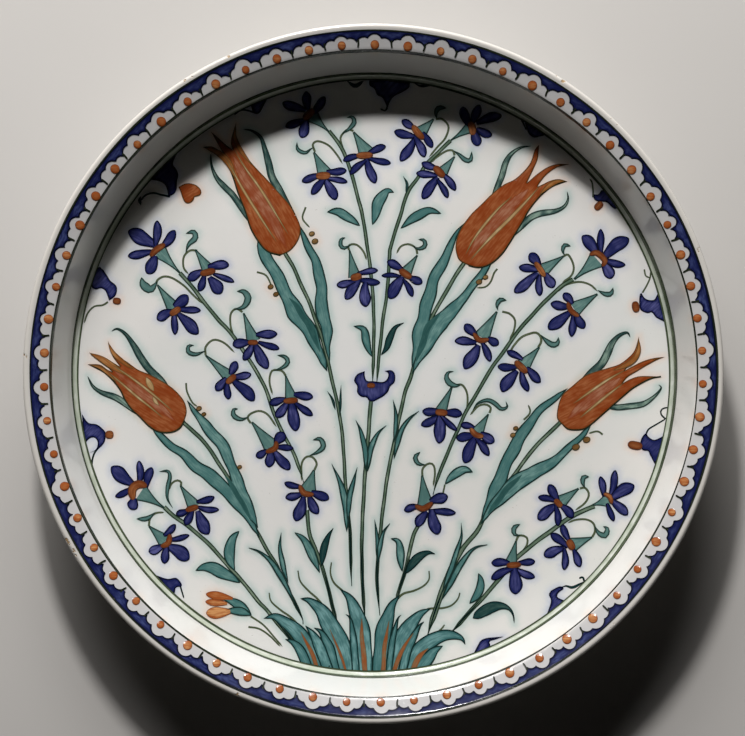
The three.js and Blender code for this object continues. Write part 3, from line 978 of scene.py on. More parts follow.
LEAVES = {
    "upper_left_tulip": [
        ((3.5, 5.5, 6, 6, 6.5, 8.5, 7.5, 6, 4, 2.5), -54.5, 65, -52, 57, -47.5, 49, -43.5, 42, -40.5,
         35.5, -37.5, 30, -33, 24, -29, 18, -25, 9, -21.5, 1),
        ((1.5, 3, 4, 5, 5.5, 6, 6.5, 5.5, 2.5, 1.5), -35.5, 70, -32, 61, -28, 54, -26.5, 48, -24.5, 41,
         -25, 34, -23.5, 27, -22, 20, -21.5, 13, -20.5, 5)],
    "upper_right_tulip": [
        ((1.2, 2.2, 4, 5, 5.5, 6, 6.5, 6, 5.5, 3.5, 2), 42, 71.5, 37.8, 66, 34.5, 58, 30.5, 50, 27.5, 44,
         26, 38, 24.5, 32, 23, 26, 21, 20, 20, 12, 18, 3),
        ((2, 3.4, 3.6, 4, 4.5, 7, 8, 7.5, 5, 3, 1.5), 56, 57, 53, 52, 49.5, 46.5, 45, 40.5, 41, 35.5, 36,
         29.5, 31, 25, 27.5, 19, 24.5, 13, 20.5, 6, 18, 0)],
    "left_tulip": [
        ((2, 3.2, 4, 4.5, 6, 6.5, 6.5, 6, 4.5, 3, 1.5), -104, -24, -101, -28, -94, -34.5, -88, -38.5,
         -82, -44, -77, -47.5, -71, -52, -66, -57.5, -61, -63, -56.5, -69.5, -52, -77),
        ((1.5, 3, 5, 6, 5.5, 5, 6, 5.5, 4, 2), -87, -13, -82, -20, -77, -26, -71, -33, -68, -38, -66,
         -43, -63.5, -49.5, -60, -57.5, -56.5, -65, -53, -72.5)],
    "right_tulip": [
        ((1.5, 3, 3.6, 4.5, 5.5, 6.5, 5.5, 6.5, 6, 4, 2), 91, -5.5, 86, -9.5, 79, -15, 74, -21, 70, -27,
         66.5, -33, 63.5, -39, 61, -45, 58.5, -51, 55.5, -58, 51, -67),
        ((2.5, 3, 3.4, 4.2, 5.5, 7, 7.5, 7.5, 5.5, 3, 1.5), 102, -22.5, 98, -27.5, 93, -32, 88, -37, 82,
         -41.5, 76, -45, 70, -48, 65, -52.5, 60, -57, 55, -63, 50.5, -70)],
    "upper": [
        (5.5, 8.8, 85.3, 5.5, 86, 2, 81.5, 0.5, 76, -1.2, 70),
        (4.6, -22.5, 75.8, -17, 76, -12, 73, -7, 69.5), (4.6, 31, 75.6, 25, 77, 19, 74, 12, 68.5)],
    "centre": [(4, -9.5, 22.5, -5, 21, -3.5, 16, -2, 11, -0.5, 8)],
    "lower": [
        (5.4, -61.8, -73.8, -64.7, -77.5, -66.5, -83, -65.6, -88, -63.6, -92.5),
        (6, -82, -92.5, -78, -91, -73, -91.5, -68, -94, -61, -98),
        (4.4, 50, -92.3, 51.2, -95.5, 51, -99, 49, -103, 46, -106.6),
        (4.5, 34, -51, 36.5, -48, 40, -45.5, 43.5, -44, 47, -45.2),
        (4.2, -36, -74.2, -32, -77, -29, -82, -26, -88, -24, -93),
        (4, 9, -76.5, 12.5, -78, 13.5, -84, 14.5, -92)],
    "thin": [
        (1.4, -21.5, -8, -19, -12, -17.5, -17), (1.4, -15, -5, -15.2, -12, -15.5, -20),
        (3.6, -19, -42, -15.5, -49.5, -12.6, -59, -11.5, -74),
        (3, -7, -43.5, -8.6, -49.5, -10.6, -58.5, -11.2, -69),
        (2.4, 9.3, -11.7, 10.8, -18.7, 10.6, -25, 10, -32),
        (2.8, 21.5, -16.9, 16.7, -21, 12.6, -28, 10, -39.7),
        (3.1, -8, -21.5, -5.5, -26.9, -3.5, -35, -2.9, -45.6),
        (3, 6.3, -23.8, 2.1, -28, -0.8, -35, -2.2, -45.6), (1.6, 13, 93, 14.8, 89.5, 14.3, 85),
        (3.2, 54.1, -78.9, 48.2, -80.6, 43.6, -85.3, 37.7, -95.8, 33, -105.2),
        (2.9, 41.8, -68.9, 41.9, -75, 40, -82, 36.5, -92.3, 33, -102),
        (2.3, 1.3, -67.8, 2.2, -73, 2.8, -79, 3, -88), (2.5, 8.5, -69.5, 5.6, -73.6, 4, -79.5, 3.2, -88),
        (2.8, -42.2, -74.3, -42.7, -81.8, -41.3, -89.3, -38.6, -98),
        (3, -57.2, -81.6, -52.5, -83.2, -47.8, -86.9, -43.1, -93, -38.9, -100.5, -35.5, -107)],
}

# Leaves laid darker over the others, and the dark pools inside some of the pale ones.
DARK_LEAVES = [
    (3.5, 14, 24.3, 10, 22, 7.5, 17, 6, 12.5, 3.5, 9),
    (3.8, -17.9, -72, -20.3, -76, -22.3, -82, -23.2, -90), (4.5, 29.7, -83.5, 26, -83, 21, -86, 16, -93),
    ((0.5, 0.8, 1.6, 3.4, 5.2, 5.6, 4.6, 2.4), 67, -115.6, 66.4, -111.4, 64.4, -108.6, 61, -107.4, 57,
     -107.9, 53, -109.8, 47.6, -113.3),
]
POOLS = [
    (3.4, -40, 35.5, -35, 30, -28.5, 19, -25, 10), (3.4, 31, 29, 26, 23, 22.5, 14, 20, 6),
    (3, 70, -46, 64, -52, 59, -58, 54, -65), (2.6, -69, -48, -64.5, -54, -60, -62, -56, -69),
]

# The finest lines, each its width and points, and the brown marks: size, x, y.
TENDRILS = [
    (0.9, -32.5, 78, -34, 73, -32, 70, -30.5, 68.5), (0.9, -55, 47.3, -51, 46, -49, 43, -48, 40),
    (0.9, 57.5, 50, 56, 48, 54.5, 44, 52, 41.5, 48, 41), (0.9, -87.5, -5, -87, -9, -84.5, -14, -82, -16),
    (0.9, 70.5, -20.5, 73, -18, 73.5, -16, 72.5, -13.5), (0.9, 107.5, -27, 105, -25.5, 101, -26.5),
    (0.9, 33, -56, 34, -51), (0.9, -56, -113.5, -50, -117.5, -45, -123, -41, -127.5),
    (0.9, -57, -118.5, -52, -119.3, -47, -122.5, -42, -127.5),
    (0.9, 102, 84, 102, 87, 101.5, 91, 100.3, 92.8), (0.8, 125.5, 39.5, 127.5, 43, 129, 46.5, 129.3, 50),
    (0.8, 126.3, 50.5, 127, 47.5, 129, 46.6),
    (0.9, -124.5, 32.5, -127, 31, -131, 30.3, -134, 27, -135.5, 22.5),
]

SNAILS = [
    (3.2, -29.5, 65.5), (3.6, -28, 62), (3.2, -48.5, 40.5), (3, -46, 37), (3.4, 49, 43.8), (3, 52, 46),
    (3, -81.3, -16.8), (2.6, -79, -19.5), (2.8, 66.8, -24.5), (3, 65.5, -27.7), (4, 100, -29.5),
    (4.2, 95, -33), (2.6, -62, -44),
]


def paint_line_work():
    """Stems, leaves, tendrils and the small snail marks between them."""
    for number, (name, stem) in enumerate(STEMS.items()):
        lift = STEM_LIFT + 0.002 * number
        painted("stem_" + name, [stem], thread, lift, STEM, bleed="bleed_green", waver=0.07)
    roots = [(0.8, *stem[-8:]) for stem in STEMS.values() if stem[-1] < -95]
    painted("stem_root_lines", roots, leaf, LEAF_LIFT - 0.01, DEEP_LEAF, tone=0.3, waver=0.2)
    for name, strokes in LEAVES.items():
        paint = Paint()
        for number, (width, *points) in enumerate(strokes):
            shape = blade if isinstance(width, tuple) else (sprout if name == "thin" else leaf)
            paint.stroke(pairs(points), width, shape, LEAF_LIFT + 0.01 * number, waver=0.1)
        paint.lay("leaves_" + name, LEAF, "bleed_green")
    dark = Paint()
    for width, *points in DARK_LEAVES:
        dark.stroke(pairs(points), width, blade if isinstance(width, tuple) else sprout, OVER_LIFT + 0.01)
    dark.lay("leaves_dark", DEEP_LEAF, "bleed_green")
    painted("leaves_dark_pools", POOLS, leaf, OVER_LIFT, POOL, tone=0.5, waver=0.2)
    painted("tendrils", TENDRILS, thread, STALK_LIFT, TENDRIL)
    brown = Paint()
    for size, x, y in SNAILS:
        line = [(x - size * 0.43, y - size / 6), (x, y), (x + size * 0.43, y + size / 6)]
        brown.stroke(line, size * 0.74, round_dot, OVER_LIFT + 0.02, dome=0.06)
    brown.lay("snail_marks", SNAIL, "bleed_red")


# ---------------------------------------------------------------- tulips
# Outline runs meet at the tips of the petals and in the valleys between them.
# Streaks are the lines left pale in the red. Sepals curl back on either side.
TULIPS = {
    "upper_left": {
        "outline": [
            (-44, 55.3, -50, 57, -54, 61, -58, 67.5, -60.5, 75, -62.5, 80, -64.5, 85, -66.5, 91, -68.7,
             96.5, -71.5, 100.5, -76, 103.5, -81, 105.7), (-81, 105.7, -77, 106, -74, 104.6, -71.5, 103),
            (-71.5, 103, -74.2, 107.5, -77.3, 113), (-77.3, 113, -73, 109.3, -69.8, 106.5, -67, 104.5),
            (-67, 104.5, -68, 108, -66.9, 113, -65.5, 117.5),
            (-65.5, 117.5, -65.6, 112, -63, 106, -58.5, 99, -50, 90, -44.5, 84, -40, 79, -36, 72, -34.7,
             67, -36, 62, -39.5, 57.5, -44, 55.3)],
        "middle": (7.5, -67, 102, -61.6, 92, -54.5, 82.5, -48.5, 73, -43.5, 63, -41, 58.5),
        "streaks": [
            (1.3, -70.5, 101, -66.5, 94, -62, 86, -55, 75, -46, 61.5),
            (1.2, -66.5, 105, -61, 96, -53, 85, -40.5, 65)],
        "gold": [
            (3.2, -80, 105.3, -74, 103, -69, 98.5, -65.5, 91),
            (2.2, -65.8, 116, -66, 110, -63, 104, -58, 97.5)],
        "sepals": [
            (0.15, 3, -58, 71, -61, 75, -66.5, 83, -70.5, 87, -74.5, 91.5, -76.8, 97, -77.3, 102.5),
            (0.2, 3.6, -38, 73, -41, 78.5, -45, 86, -48.5, 92, -50, 98, -52, 105, -54, 110.5, -58, 113.5,
             -62.3, 114.3)],
        "angle": 2.1,
    },
    "upper_right": {
        "outline": [
            (44, 51.5, 48, 50.6, 52, 51.2, 56, 53.5, 60, 57.5, 63, 62, 66, 67, 69, 72, 71.6, 77, 75.1,
             81.8, 79, 86, 83.7, 89.4, 89.8, 91.4),
            (89.8, 91.4, 86, 92.4, 82.1, 91.7, 78.6, 90, 76, 88.8),
            (76, 88.8, 77.4, 91.1, 80.6, 94.8, 85.2, 97.9, 91, 99.4),
            (91, 99.4, 85.2, 99.5, 80.6, 98, 75.9, 94.8, 71, 90.5),
            (71, 90.5, 74, 97, 76, 102, 76.5, 108.4),
            (76.5, 108.4, 74.5, 106, 72.5, 100, 69, 95.5, 65, 92, 60, 89.5, 55, 85.5, 50, 80.5, 45, 75.5,
             41, 70, 38.5, 64.5, 37.8, 60, 38.5, 56, 40, 53.5, 44, 51.5)],
        "middle": (6.6, 72, 88, 66.5, 82.5, 60.5, 76, 54, 69, 48.2, 62, 43.6, 55.2),
        "streaks": [
            (1.3, 42.5, 56.5, 46.5, 64, 52, 71.5, 58, 78.5, 64, 84),
            (1.6, 44.7, 53.8, 50, 60, 56, 66.5, 63, 73.5, 70, 81, 77, 89)],
        "gold": [(2.2, 89, 91.6, 84.5, 91, 80.5, 88.5, 77, 85)],
        "sepals": [
            (0.7, 3, 54.8, 81, 57, 88, 59.3, 94, 60.8, 99.5, 63.5, 104, 68, 107, 72.8, 107.8),
            (0.9, 3.2, 61, 63.5, 67.5, 69.3, 72.8, 74.2, 77.4, 76.2, 84.3, 77.4, 88.5, 79.6, 90.3, 83,
             89.8, 86.8)],
        "angle": 0.9,
    },
    "left": {
        "outline": [
            (-88, -22.5, -90, -26, -93, -27.8, -97, -28.3, -101, -27.6, -105, -25, -109, -21, -113,
             -17.3, -116, -13, -118, -9, -121, -5, -124, -2, -127, 0.3, -133.5, 3.3),
            (-133.5, 3.3, -128, 3.2, -124.5, 1, -122, -0.3), (-122, -0.3, -126, 3.5, -133, 8.7),
            (-133, 8.7, -127, 7.2, -123, 5, -118.5, 2.3), (-118.5, 2.3, -122.5, 8, -124.3, 14.5),
            (-124.3, 14.5, -122, 9.5, -119, 7, -115, 4.5, -110, 1, -105, -1, -100, -3.5, -95, -6.5, -91,
             -10, -88, -14, -87, -18.5, -88, -22.5)],
        "middle": (5.4, -121.5, 0.5, -116, -3.7, -109.3, -9, -102.5, -14.2, -95.8, -19.8, -92, -23),
        "streaks": [
            (1.2, -122, 3, -115, -1.5, -108, -6.5, -101, -12, -93.5, -18.2),
            (1.2, -124, -0.3, -117, -6, -110.5, -11.5, -104, -16.5, -98, -21.5),
            (2.8, -106.2, -2.5, -104.6, -5.5, -102.5, -9), (1.8, -103, -11.5, -101.5, -14, -100, -15.6)],
        "gold": [
            (3.2, -132.5, 8.4, -127.5, 6, -122, 2.5, -116, -1.5),
            (2.2, -124.2, 13.5, -121.5, 8.5, -117, 4.5, -112, 1),
            (1.6, -133, 3.2, -128, 1.8, -124, -1, -120, -5)],
        "sepals": [
            (0.0, 3.6, -95.5, -9.5, -99, -4.2, -105, 1.5, -109, 7, -112, 12, -116, 17.5, -120, 20,
             -122.7, 18.8),
            (0.85, 3.2, -105, -21.5, -111, -18, -117, -14, -121, -11.8, -127, -9.8, -131, -7, -133.6,
             -2.3)],
        "angle": 2.65,
    },
    "right": {
        "outline": [
            (88, -22, 86.2, -20, 86, -17, 87, -12, 89, -8, 93, -4.5, 97, -1, 100, 1, 105, 2.8, 110, 4.3,
             115, 6, 119, 9, 122, 12.5, 124, 19), (124, 19, 124.4, 12, 122, 8.5, 119.5, 5.5, 117.5, 3),
            (117.5, 3, 121, 5, 126, 7.5, 131, 9, 136, 9.6),
            (136, 9.6, 132, 7.8, 127, 5, 123, 2.5, 119, 0, 116.5, -3),
            (116.5, -3, 120, -1, 125, 0.5, 134.5, 0.4),
            (134.5, 0.4, 130, -0.5, 125, -3, 121, -5.5, 117.5, -8.5, 113, -12.5, 108, -17, 103, -21.5,
             99, -24.3, 95, -25, 91, -24.5, 88, -22)],
        "middle": (6.4, 116, 0, 111, -3.8, 105, -8.2, 99, -12.8, 94.5, -16.8, 91, -20),
        "streaks": [
            (1.3, 93.5, -12.8, 99, -8.8, 105, -4.5, 111, -0.5, 117.5, 3.2),
            (1.3, 96.5, -19.5, 103, -14, 109, -9, 117, -2.8)],
        "gold": [(2.6, 123.8, 18, 124, 12.5, 121.5, 8, 117, 5, 112, 3)],
        "sepals": [
            (0.8, 3.9, 97, -4, 101.5, 1.3, 106.5, 6, 109.3, 11, 111.5, 15.8, 114.8, 19.4, 118.5, 20.8,
             120, 18.6),
            (0.9, 3, 107.5, -13, 114, -14.2, 119.8, -13.6, 126.5, -12.4, 131.6, -8.8, 134.6, -5, 133.4,
             -3.4)],
        "angle": 0.45,
    },
}


def paint_tulip(name, outline, middle, streaks, gold, sepals, angle):
    """A tulip in raised red, its thin middle petal, pale streaks, ochre tips and green sepals."""
    whole = "tulip_" + name
    top = PETAL_LIFT + BOLE_RISE
    brush = {"dome": BOLE_RISE, "grain": 0.9, "angle": angle, "tone": 0.45}
    made = filled(whole, outline, PETAL_LIFT, RED, "red_bole", "bleed_red", **brush)
    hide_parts("bole_tulip_" + name)
    painted(whole + "_middle_petal", [middle], leaf, top + 0.01, MIDDLE_RED, "red_bole", tone=0.75)
    painted(whole + "_tips", gold, leaf, top + 0.02, GOLD, "red_bole", tone=0.5)
    painted(whole + "_streaks", streaks, leaf, top + 0.03, STREAK, "white_slip", tone=0.8)
    green = Paint()
    for tone, width, *points in sepals:
        green.stroke(pairs(points), width, horn, OVER_LIFT, tone=tone)
    green.lay(whole + "_sepals", SEPAL, "bleed_green")
    under = outline[0] if name != "right" else outline[-1]
    painted(whole + "_line", [(0.7, *under)], thread, PETAL_LIFT + 0.04, BLACK, "outline_black")


# ---------------------------------------------------------------- tuft, knot, bud
# The blades, the thin tails at their tips, the brown veins, and where the ring cuts them.
TUFT = [
    (7.5, -50, -114.5, -45, -113.5, -40, -116, -35.5, -119.5, -31, -124.5, -28, -130, -24.3, -139.5),
    (9, -33, -105, -28.5, -106, -23.5, -110, -20, -115.5, -16.5, -121, -13.5, -128, -10.6, -141.1),
    (8.4, -14.5, -100.3, -10.5, -104, -7.8, -109, -5.5, -115, -4, -122, -3.2, -130, -3.2, -141.5),
    (8, 13.5, -102.8, 10, -107.5, 8, -113, 6.3, -119, 5.5, -127, 4.8, -141.5),
    (8, 28, -109, 23.5, -111.3, 19.5, -115.3, 16.5, -120, 13.5, -126.5, 10.7, -141.2),
    (7, 44.3, -125.8, 42.8, -123, 39.5, -121.5, 35, -121.4, 30, -123, 25.5, -126, 21.5, -130.5, 16.4,
     -140.7), (5, -26.5, -118.5, -23, -120.5, -20.5, -125, -18.5, -130, -15.7, -140.9),
    (5.5, -30.5, -117.5, -27, -121.5, -24, -127, -22, -131.5, -19.1, -140.3),
    (4.8, -39.8, -124, -36, -125.5, -32.5, -129.5, -28.1, -138.9),
    (3.8, -11.8, -112, -9.5, -114, -8.5, -120, -7.5, -128, -6.5, -141.5),
    (3.4, 14.3, -112, 12.6, -114, 11.2, -120, 9.8, -127, 8.5, -141.5),
    (4.4, 25, -115, 22.5, -117.5, 19.8, -123, 17, -129.5, 14.6, -140.9),
    (6, 33.8, -126.3, 30, -128.5, 27, -132, 21.0, -140.0),
]
TAIL_WIDTHS = (0.6, 0.9, 1.1, 1.5)
TUFT_TAILS = [
    (-47.5, -102.5, -46.5, -106.5, -42, -110.5, -37, -114, -32.5, -119),
    (-34.2, -92, -33, -97, -29, -101.5, -25, -105, -20.5, -110.5),
    (-18.6, -88, -19, -93, -17.3, -97.5, -13.5, -101, -9.5, -105),
    (27, -91.5, 27, -95.5, 24.5, -98.5, 20, -100.8, 15, -102.3, 11, -106),
    (41.5, -101.5, 40.5, -104.5, 37.5, -107.5, 33, -108.8, 27, -109.2, 22, -112.5),
    (34.5, -116.5, 32.5, -119, 29, -121.5),
]
TUFT_VEINS = [
    (2, -32.5, -120.5, -29, -127, -26.5, -132, -24.8, -137),
    (1.3, -19, -119, -16, -126, -13, -133, -11.2, -139),
    (2.5, -4.2, -114, -4, -122, -3.2, -130, -2.2, -139), (2.2, 8.6, -115, 7.5, -121, 6.6, -128, 6, -139),
    (2.1, 20, -120.5, 16, -126.5, 13.2, -132, 11.2, -139),
    (2.7, 27, -127.5, 23.5, -130.5, 21.5, -134, 19.8, -139),
]
TUFT_RIM = 138.2
# The knot's outline, and the bud's petals: tone, width and points.
KNOT = [
    (-4, 1.5, -7.5, 0, -9, -3, -7.5, -5.5, -7.5, -8.5, -5.5, -10.5, -3, -10.8, -2, -12.3, 0, -12.7, 2.5,
     -11.5, 5, -10, 7, -8, 8, -5.5, 10, -3.5, 10.2, 0, 8.5, 2, 5.3, 1.7),
    (5.3, 1.7, 7, 0.5, 6.5, -2, 4.5, -3.5, 0, -3.2, -3, -3, -4, -0.5, -4, 1.5),
]
BUD_PETALS = [
    (0.1, 4.1, -64.5, -105.5, -71, -104.2, -77, -103.4),
    (0.5, 3.5, -67, -107.7, -72, -107.4, -77.2, -106.9),
    (1.0, 5.8, -65.5, -111.3, -71, -112, -76.8, -112.2),
]


def paint_tuft():
    """The clump of blades that everything grows from, each cut off where it meets the ring."""
    for number, (width, *points) in enumerate(TUFT):
        reach = Paint()
        reach.stroke(pairs(points), width, reed, LEAF_LIFT + 0.004 * number, waver=0.05)
        reach.trim(points[-2:], TUFT_RIM)
        reach.lay("tuft_blade_%02d" % (number + 1), BLADE, "bleed_green")
    tails = [(TAIL_WIDTHS, *points) for points in TUFT_TAILS]
    painted("tuft_tails", tails, thread, STALK_LIFT, TENDRIL, bleed="bleed_green")
    for number, (width, *points) in enumerate(TUFT_VEINS):
        red = Paint()
        red.stroke(pairs(points), width, vein, PETAL_LIFT + 0.01, waver=0.12)
        red.trim(points[-2:], TUFT_RIM)
        red.lay("tuft_vein_%d" % (number + 1), VEIN_RED)


def paint_knot_and_bud():
    """The blue knot in the middle, and the orange bud low on the left."""
    brush = {"grain": 0.9, "angle": 1.57, "tone": 0.5}
    filled("middle_knot", KNOT, PETAL_LIFT, COBALT, "cobalt_blue", "bleed_blue", **brush)
    eye = [(2.6, -3, -5.3, -1, -5.2, 1, -5.3)]
    painted("middle_knot_eye", eye, pill, HEART_LIFT + 0.03, HEART, "red_bole", dome=0.08)
    orange = Paint()
    for tone, width, *points in BUD_PETALS:
        orange.stroke(pairs(points), width, petal, PETAL_LIFT, dome=0.1, tone=tone)
    orange.lay("orange_bud_petals", DOT_RED, "bleed_red")
    green = Paint()
    green.stroke(pairs((-69.5, -105.3, -63, -107.5, -55.5, -113)), 5, sprout, HEART_LIFT, tone=0.2)
    green.stroke(pairs((-69, -111, -61, -111.2, -55.5, -113)), 4.4, sprout, HEART_LIFT + 0.01, tone=0.1)
    green.lay("orange_bud_cup", LEAF, "bleed_green")


# ---------------------------------------------------------------- edge florets
# Half flowers cut by the ring: filled cobalt outline, an orange eye (width and
# points), and fine tails.
FLORETS = {
    "upper_left": (
        [(-105, 90, -100.5, 95.5, -95.5, 100.5, -92.8, 103),
         (-92.8, 103, -94.5, 99.5, -95, 97.3, -93.3, 95, -92.4, 92.5, -93, 89, -93, 86, -94.3, 83.5, -97,
          82.2), (-97, 82.2, -97.4, 85, -98.6, 87.8, -101.5, 89.4, -105, 90)], None,
        [(1, -96, 82.2, -100, 83, -104, 83.8, -107.5, 82.8, -110, 80),
         (1.6, -109.8, 82.5, -110.3, 80.5, -109.8, 78)]),
    "left_high": (
        [(-128.5, 49, -126.5, 47, -124.8, 44.5, -123.5, 42.5, -121, 40.5, -120.3, 38.5, -120.8, 36, -122,
          34.5, -124, 33.2), (-124, 33.2, -125, 36, -126, 38, -128, 39, -130, 38.3, -132, 39),
         (-132, 39, -132.6, 41.5, -131.8, 45, -130, 48, -128.5, 49)], (3.2, -122.3, 33.2, -118.4, 32.8),
        []),
    "left_low": (
        [(-136, -20, -133, -24, -129, -24.8, -126, -27, -124.7, -29, -125.1, -32.7, -126.7, -35.1),
         (-126.7, -35.1, -129.5, -37, -132, -38),
         (-132, -38, -129.3, -36.5, -128.4, -33.5, -129.5, -31.2, -131.5, -31, -133.2, -32.3, -134.5,
          -34.2), (-134.5, -34.2, -135.3, -28, -136, -20)], (3.8, -125, -29.6, -121, -29.5),
        [(0.9, -127.5, -35, -130, -38.5, -131, -43, -130.7, -48.5)]),
    "lower_left": (
        [(-100, -95, -95, -96.5, -91, -96, -88.5, -98.5, -88.5, -100, -91, -100.5, -92, -103.5, -96,
          -100, -100, -95)], None, [(0.8, -89.3, -99, -88.3, -102, -87.2, -105.5)]),
    "bottom_right": (
        [(48, -130, 50, -126, 51.5, -123.6, 54, -122.5, 58, -122, 62, -121.7),
         (62, -121.7, 58, -123.2, 55.5, -124, 56, -126, 55, -127.5, 51.5, -129, 48, -130)], None, []),
    "right_low": (
        [(84, -100, 88, -98, 90, -99, 87.5, -101, 87, -103, 90, -104.5),
         (90, -104.5, 88.5, -107.5, 85.5, -110, 82, -111.5), (82, -111.5, 84, -105, 83, -102, 84, -100)],
        None,
        [(1.4, 88, -98.8, 91, -97.8, 94, -98.5, 98, -96.5, 99.5, -95.5),
         (1, 99.5, -95.5, 98.7, -93.7, 97, -94.2)]),
    "right_middle": (
        [(128, -25.8, 128.7, -27.6, 131.2, -29.2, 133.6, -28.5, 136, -27.2),
         (136, -27.2, 135.6, -31, 134.6, -35.5, 132.2, -41),
         (132.2, -41, 131, -38.8, 129.5, -36, 128.8, -34.4, 126.8, -34.3, 125.3, -33, 125, -31, 125.5,
          -28.8, 126.6, -27, 128, -25.8)], (4, 119.2, -31.2, 122.5, -31.9, 126.2, -32.4),
        [(0.8, 127.9, -26.2, 129, -24.2, 132.5, -22, 136.8, -19.4),
         (0.8, 136.8, -19.4, 134.9, -17.6, 134.5, -15.8, 135.6, -14.5, 138, -14)]),
    "right_high": (
        [(125, 39.5, 126.5, 37.2, 128.5, 36.2, 131, 36.3, 132, 38, 132.7, 39.3),
         (132.7, 39.3, 133.7, 37, 135, 32, 137, 25.5),
         (137, 25.5, 133.5, 27.2, 131.8, 28.2, 130, 30.4, 128, 30, 125, 31.2, 124.2, 33, 124, 36, 124.3,
          38.8, 125, 39.5)], (5.2, 120.6, 32.6, 124.2, 33.2), []),
    "upper_right": (
        [(102.3, 85.5, 104.5, 85.5, 106, 87.5, 108.5, 87), (108.5, 87, 111.5, 83.8, 114.4, 79.8),
         (114.4, 79.8, 112.5, 78.6, 110.8, 79.6, 108.3, 81.8, 104, 82.2, 102.3, 83.5, 102.3, 85.5)],
        (3.4, 103, 78.3, 104.6, 80, 106.4, 81.8), []),
    "top_right": (
        [(69.8, 118.7, 72.2, 118.8, 75, 116.9, 80.5, 113.6),
         (80.5, 113.6, 77, 112.3, 74, 111.8, 71.6, 113.6, 70.6, 116, 69.8, 118.7)], None,
        [(0.9, 66.3, 123.4, 68.5, 119.5, 70.6, 115.2), (0.8, 78.5, 114, 82.5, 111.6)]),
    "top_left": (
        [(-58.8, 125.6, -55, 128.2, -49.6, 131.2),
         (-49.6, 131.2, -52.5, 126, -54.2, 122.6, -56, 121.4, -57.8, 122.6, -58.8, 125.6)], None,
        [(0.9, -56.5, 122, -60, 123, -63.3, 123.3, -66.5, 121)]),
    "top": (
        [(-3.4, 137.8, 6, 138, 15.6, 137),
         (15.6, 137, 15.2, 134.6, 12, 132.4, 8.2, 130.4, 6.4, 128, 5.2, 124.8),
         (5.2, 124.8, 4, 128, 2.6, 130, 0.4, 131, -1, 134, -3.2, 135.4, -3.4, 137.8)], None,
        [(0.9, 5.6, 128, 4.5, 123.8, 1.8, 124.6), (2.2, -14, 137.6, -10, 135.2, -6, 137.6),
         (1.8, 17, 137.2, 21, 135.4, 26, 136.2, 33, 133.8)]),
}


def paint_florets():
    """The half flowers that the green ring cuts off."""
    for name, (outline, eye, tails) in FLORETS.items():
        whole = "edge_floret_" + name
        brush = {"grain": 0.9, "angle": 0.8, "tone": hand.random()}
        filled(whole, outline, PETAL_LIFT, COBALT, "cobalt_blue", "bleed_blue", **brush)
        if eye:
            painted(whole + "_eye", [eye], pill, HEART_LIFT, HEART, "red_bole", "bleed_red", dome=0.1)
        if tails:
            line = Paint()
            for width, *points in tails:
                line.stroke(pairs(points), width, sprout if width > 1.2 else thread, STALK_LIFT)
            line.lay(whole + "_tail", DEEP_LEAF)


# The red bud beside the upper left floret, with a notch between its two lobes.
RED_BUD = [
    (-84.6, 82.2, -85.2, 80.5, -87, 79.2, -89, 79.5, -90.4, 82, -91.2, 84.5, -92.3, 86.8),
    (-92.3, 86.8, -89.5, 88.3, -87, 88.6, -84, 87.8, -82, 86, -81.4, 84.3, -82.2, 82.9, -84.6, 82.2),
]


def paint_red_bud():
    brush = {"dome": 0.14, "grain": 0.8, "angle": 0.6, "tone": 0.4}
    filled("edge_floret_upper_left_bud", RED_BUD, HEART_LIFT, RED, "red_bole", "bleed_red", **brush)


# ---------------------------------------------------------------- rim band and rings
# Radii of the painted lines and of the parts of the border. Each white lobe is
# its shift along the band, its radius out from the middle, and its size.
GREEN_INNER = 138.4
GREEN_WASH = 139.7
GREEN_OUTER = 140.95
DOT_RADIUS = 150.5
BLUE_INNER = 150.9
BLUE_OUTER = 156.9
UNITS = 62
BLUE_COLUMNS = 2016
LOBES = ((4.7, 150.6, 3.1), (0.2, 151.9, 3.55), (-4.4, 150.4, 2.7))


def unit_angles():
    """Where the red dots come, a little unevenly spaced as the painter left them."""
    known = np.array([[0, -88.1], [16, 4.4], [29, 78.8], [45, 171.3], [62, 271.9]])
    return np.radians(np.interp(np.arange(UNITS), known[:, 0], known[:, 1]))


def polar(angle, radius):
    return (radius * math.cos(angle), radius * math.sin(angle))


def paint_ring(name, radius, width_at, finish, lift):
    """A painted line round the dish, of changing width."""
    paint = Paint()
    count = 540
    made = bmesh.ops.create_grid(paint.bm, x_segments=count, y_segments=6, size=1)["verts"]
    for v in made:
        turn = math.pi * v.co.x
        across = v.co.y
        half = width_at(turn) / 2
        where = polar(turn, radius + 0.25 * math.sin(3 * turn + 1) + across * half)
        paint.note(v, edge=(1 - abs(across)) * half, along=turn * radius, side=across * half, tone=0.5)
        v.co = (where[0], where[1], lift)
    bmesh.ops.remove_doubles(paint.bm, verts=made, dist=0.02)
    paint.thicken(paint.bm.faces[:])
    return paint.lay(name, finish)


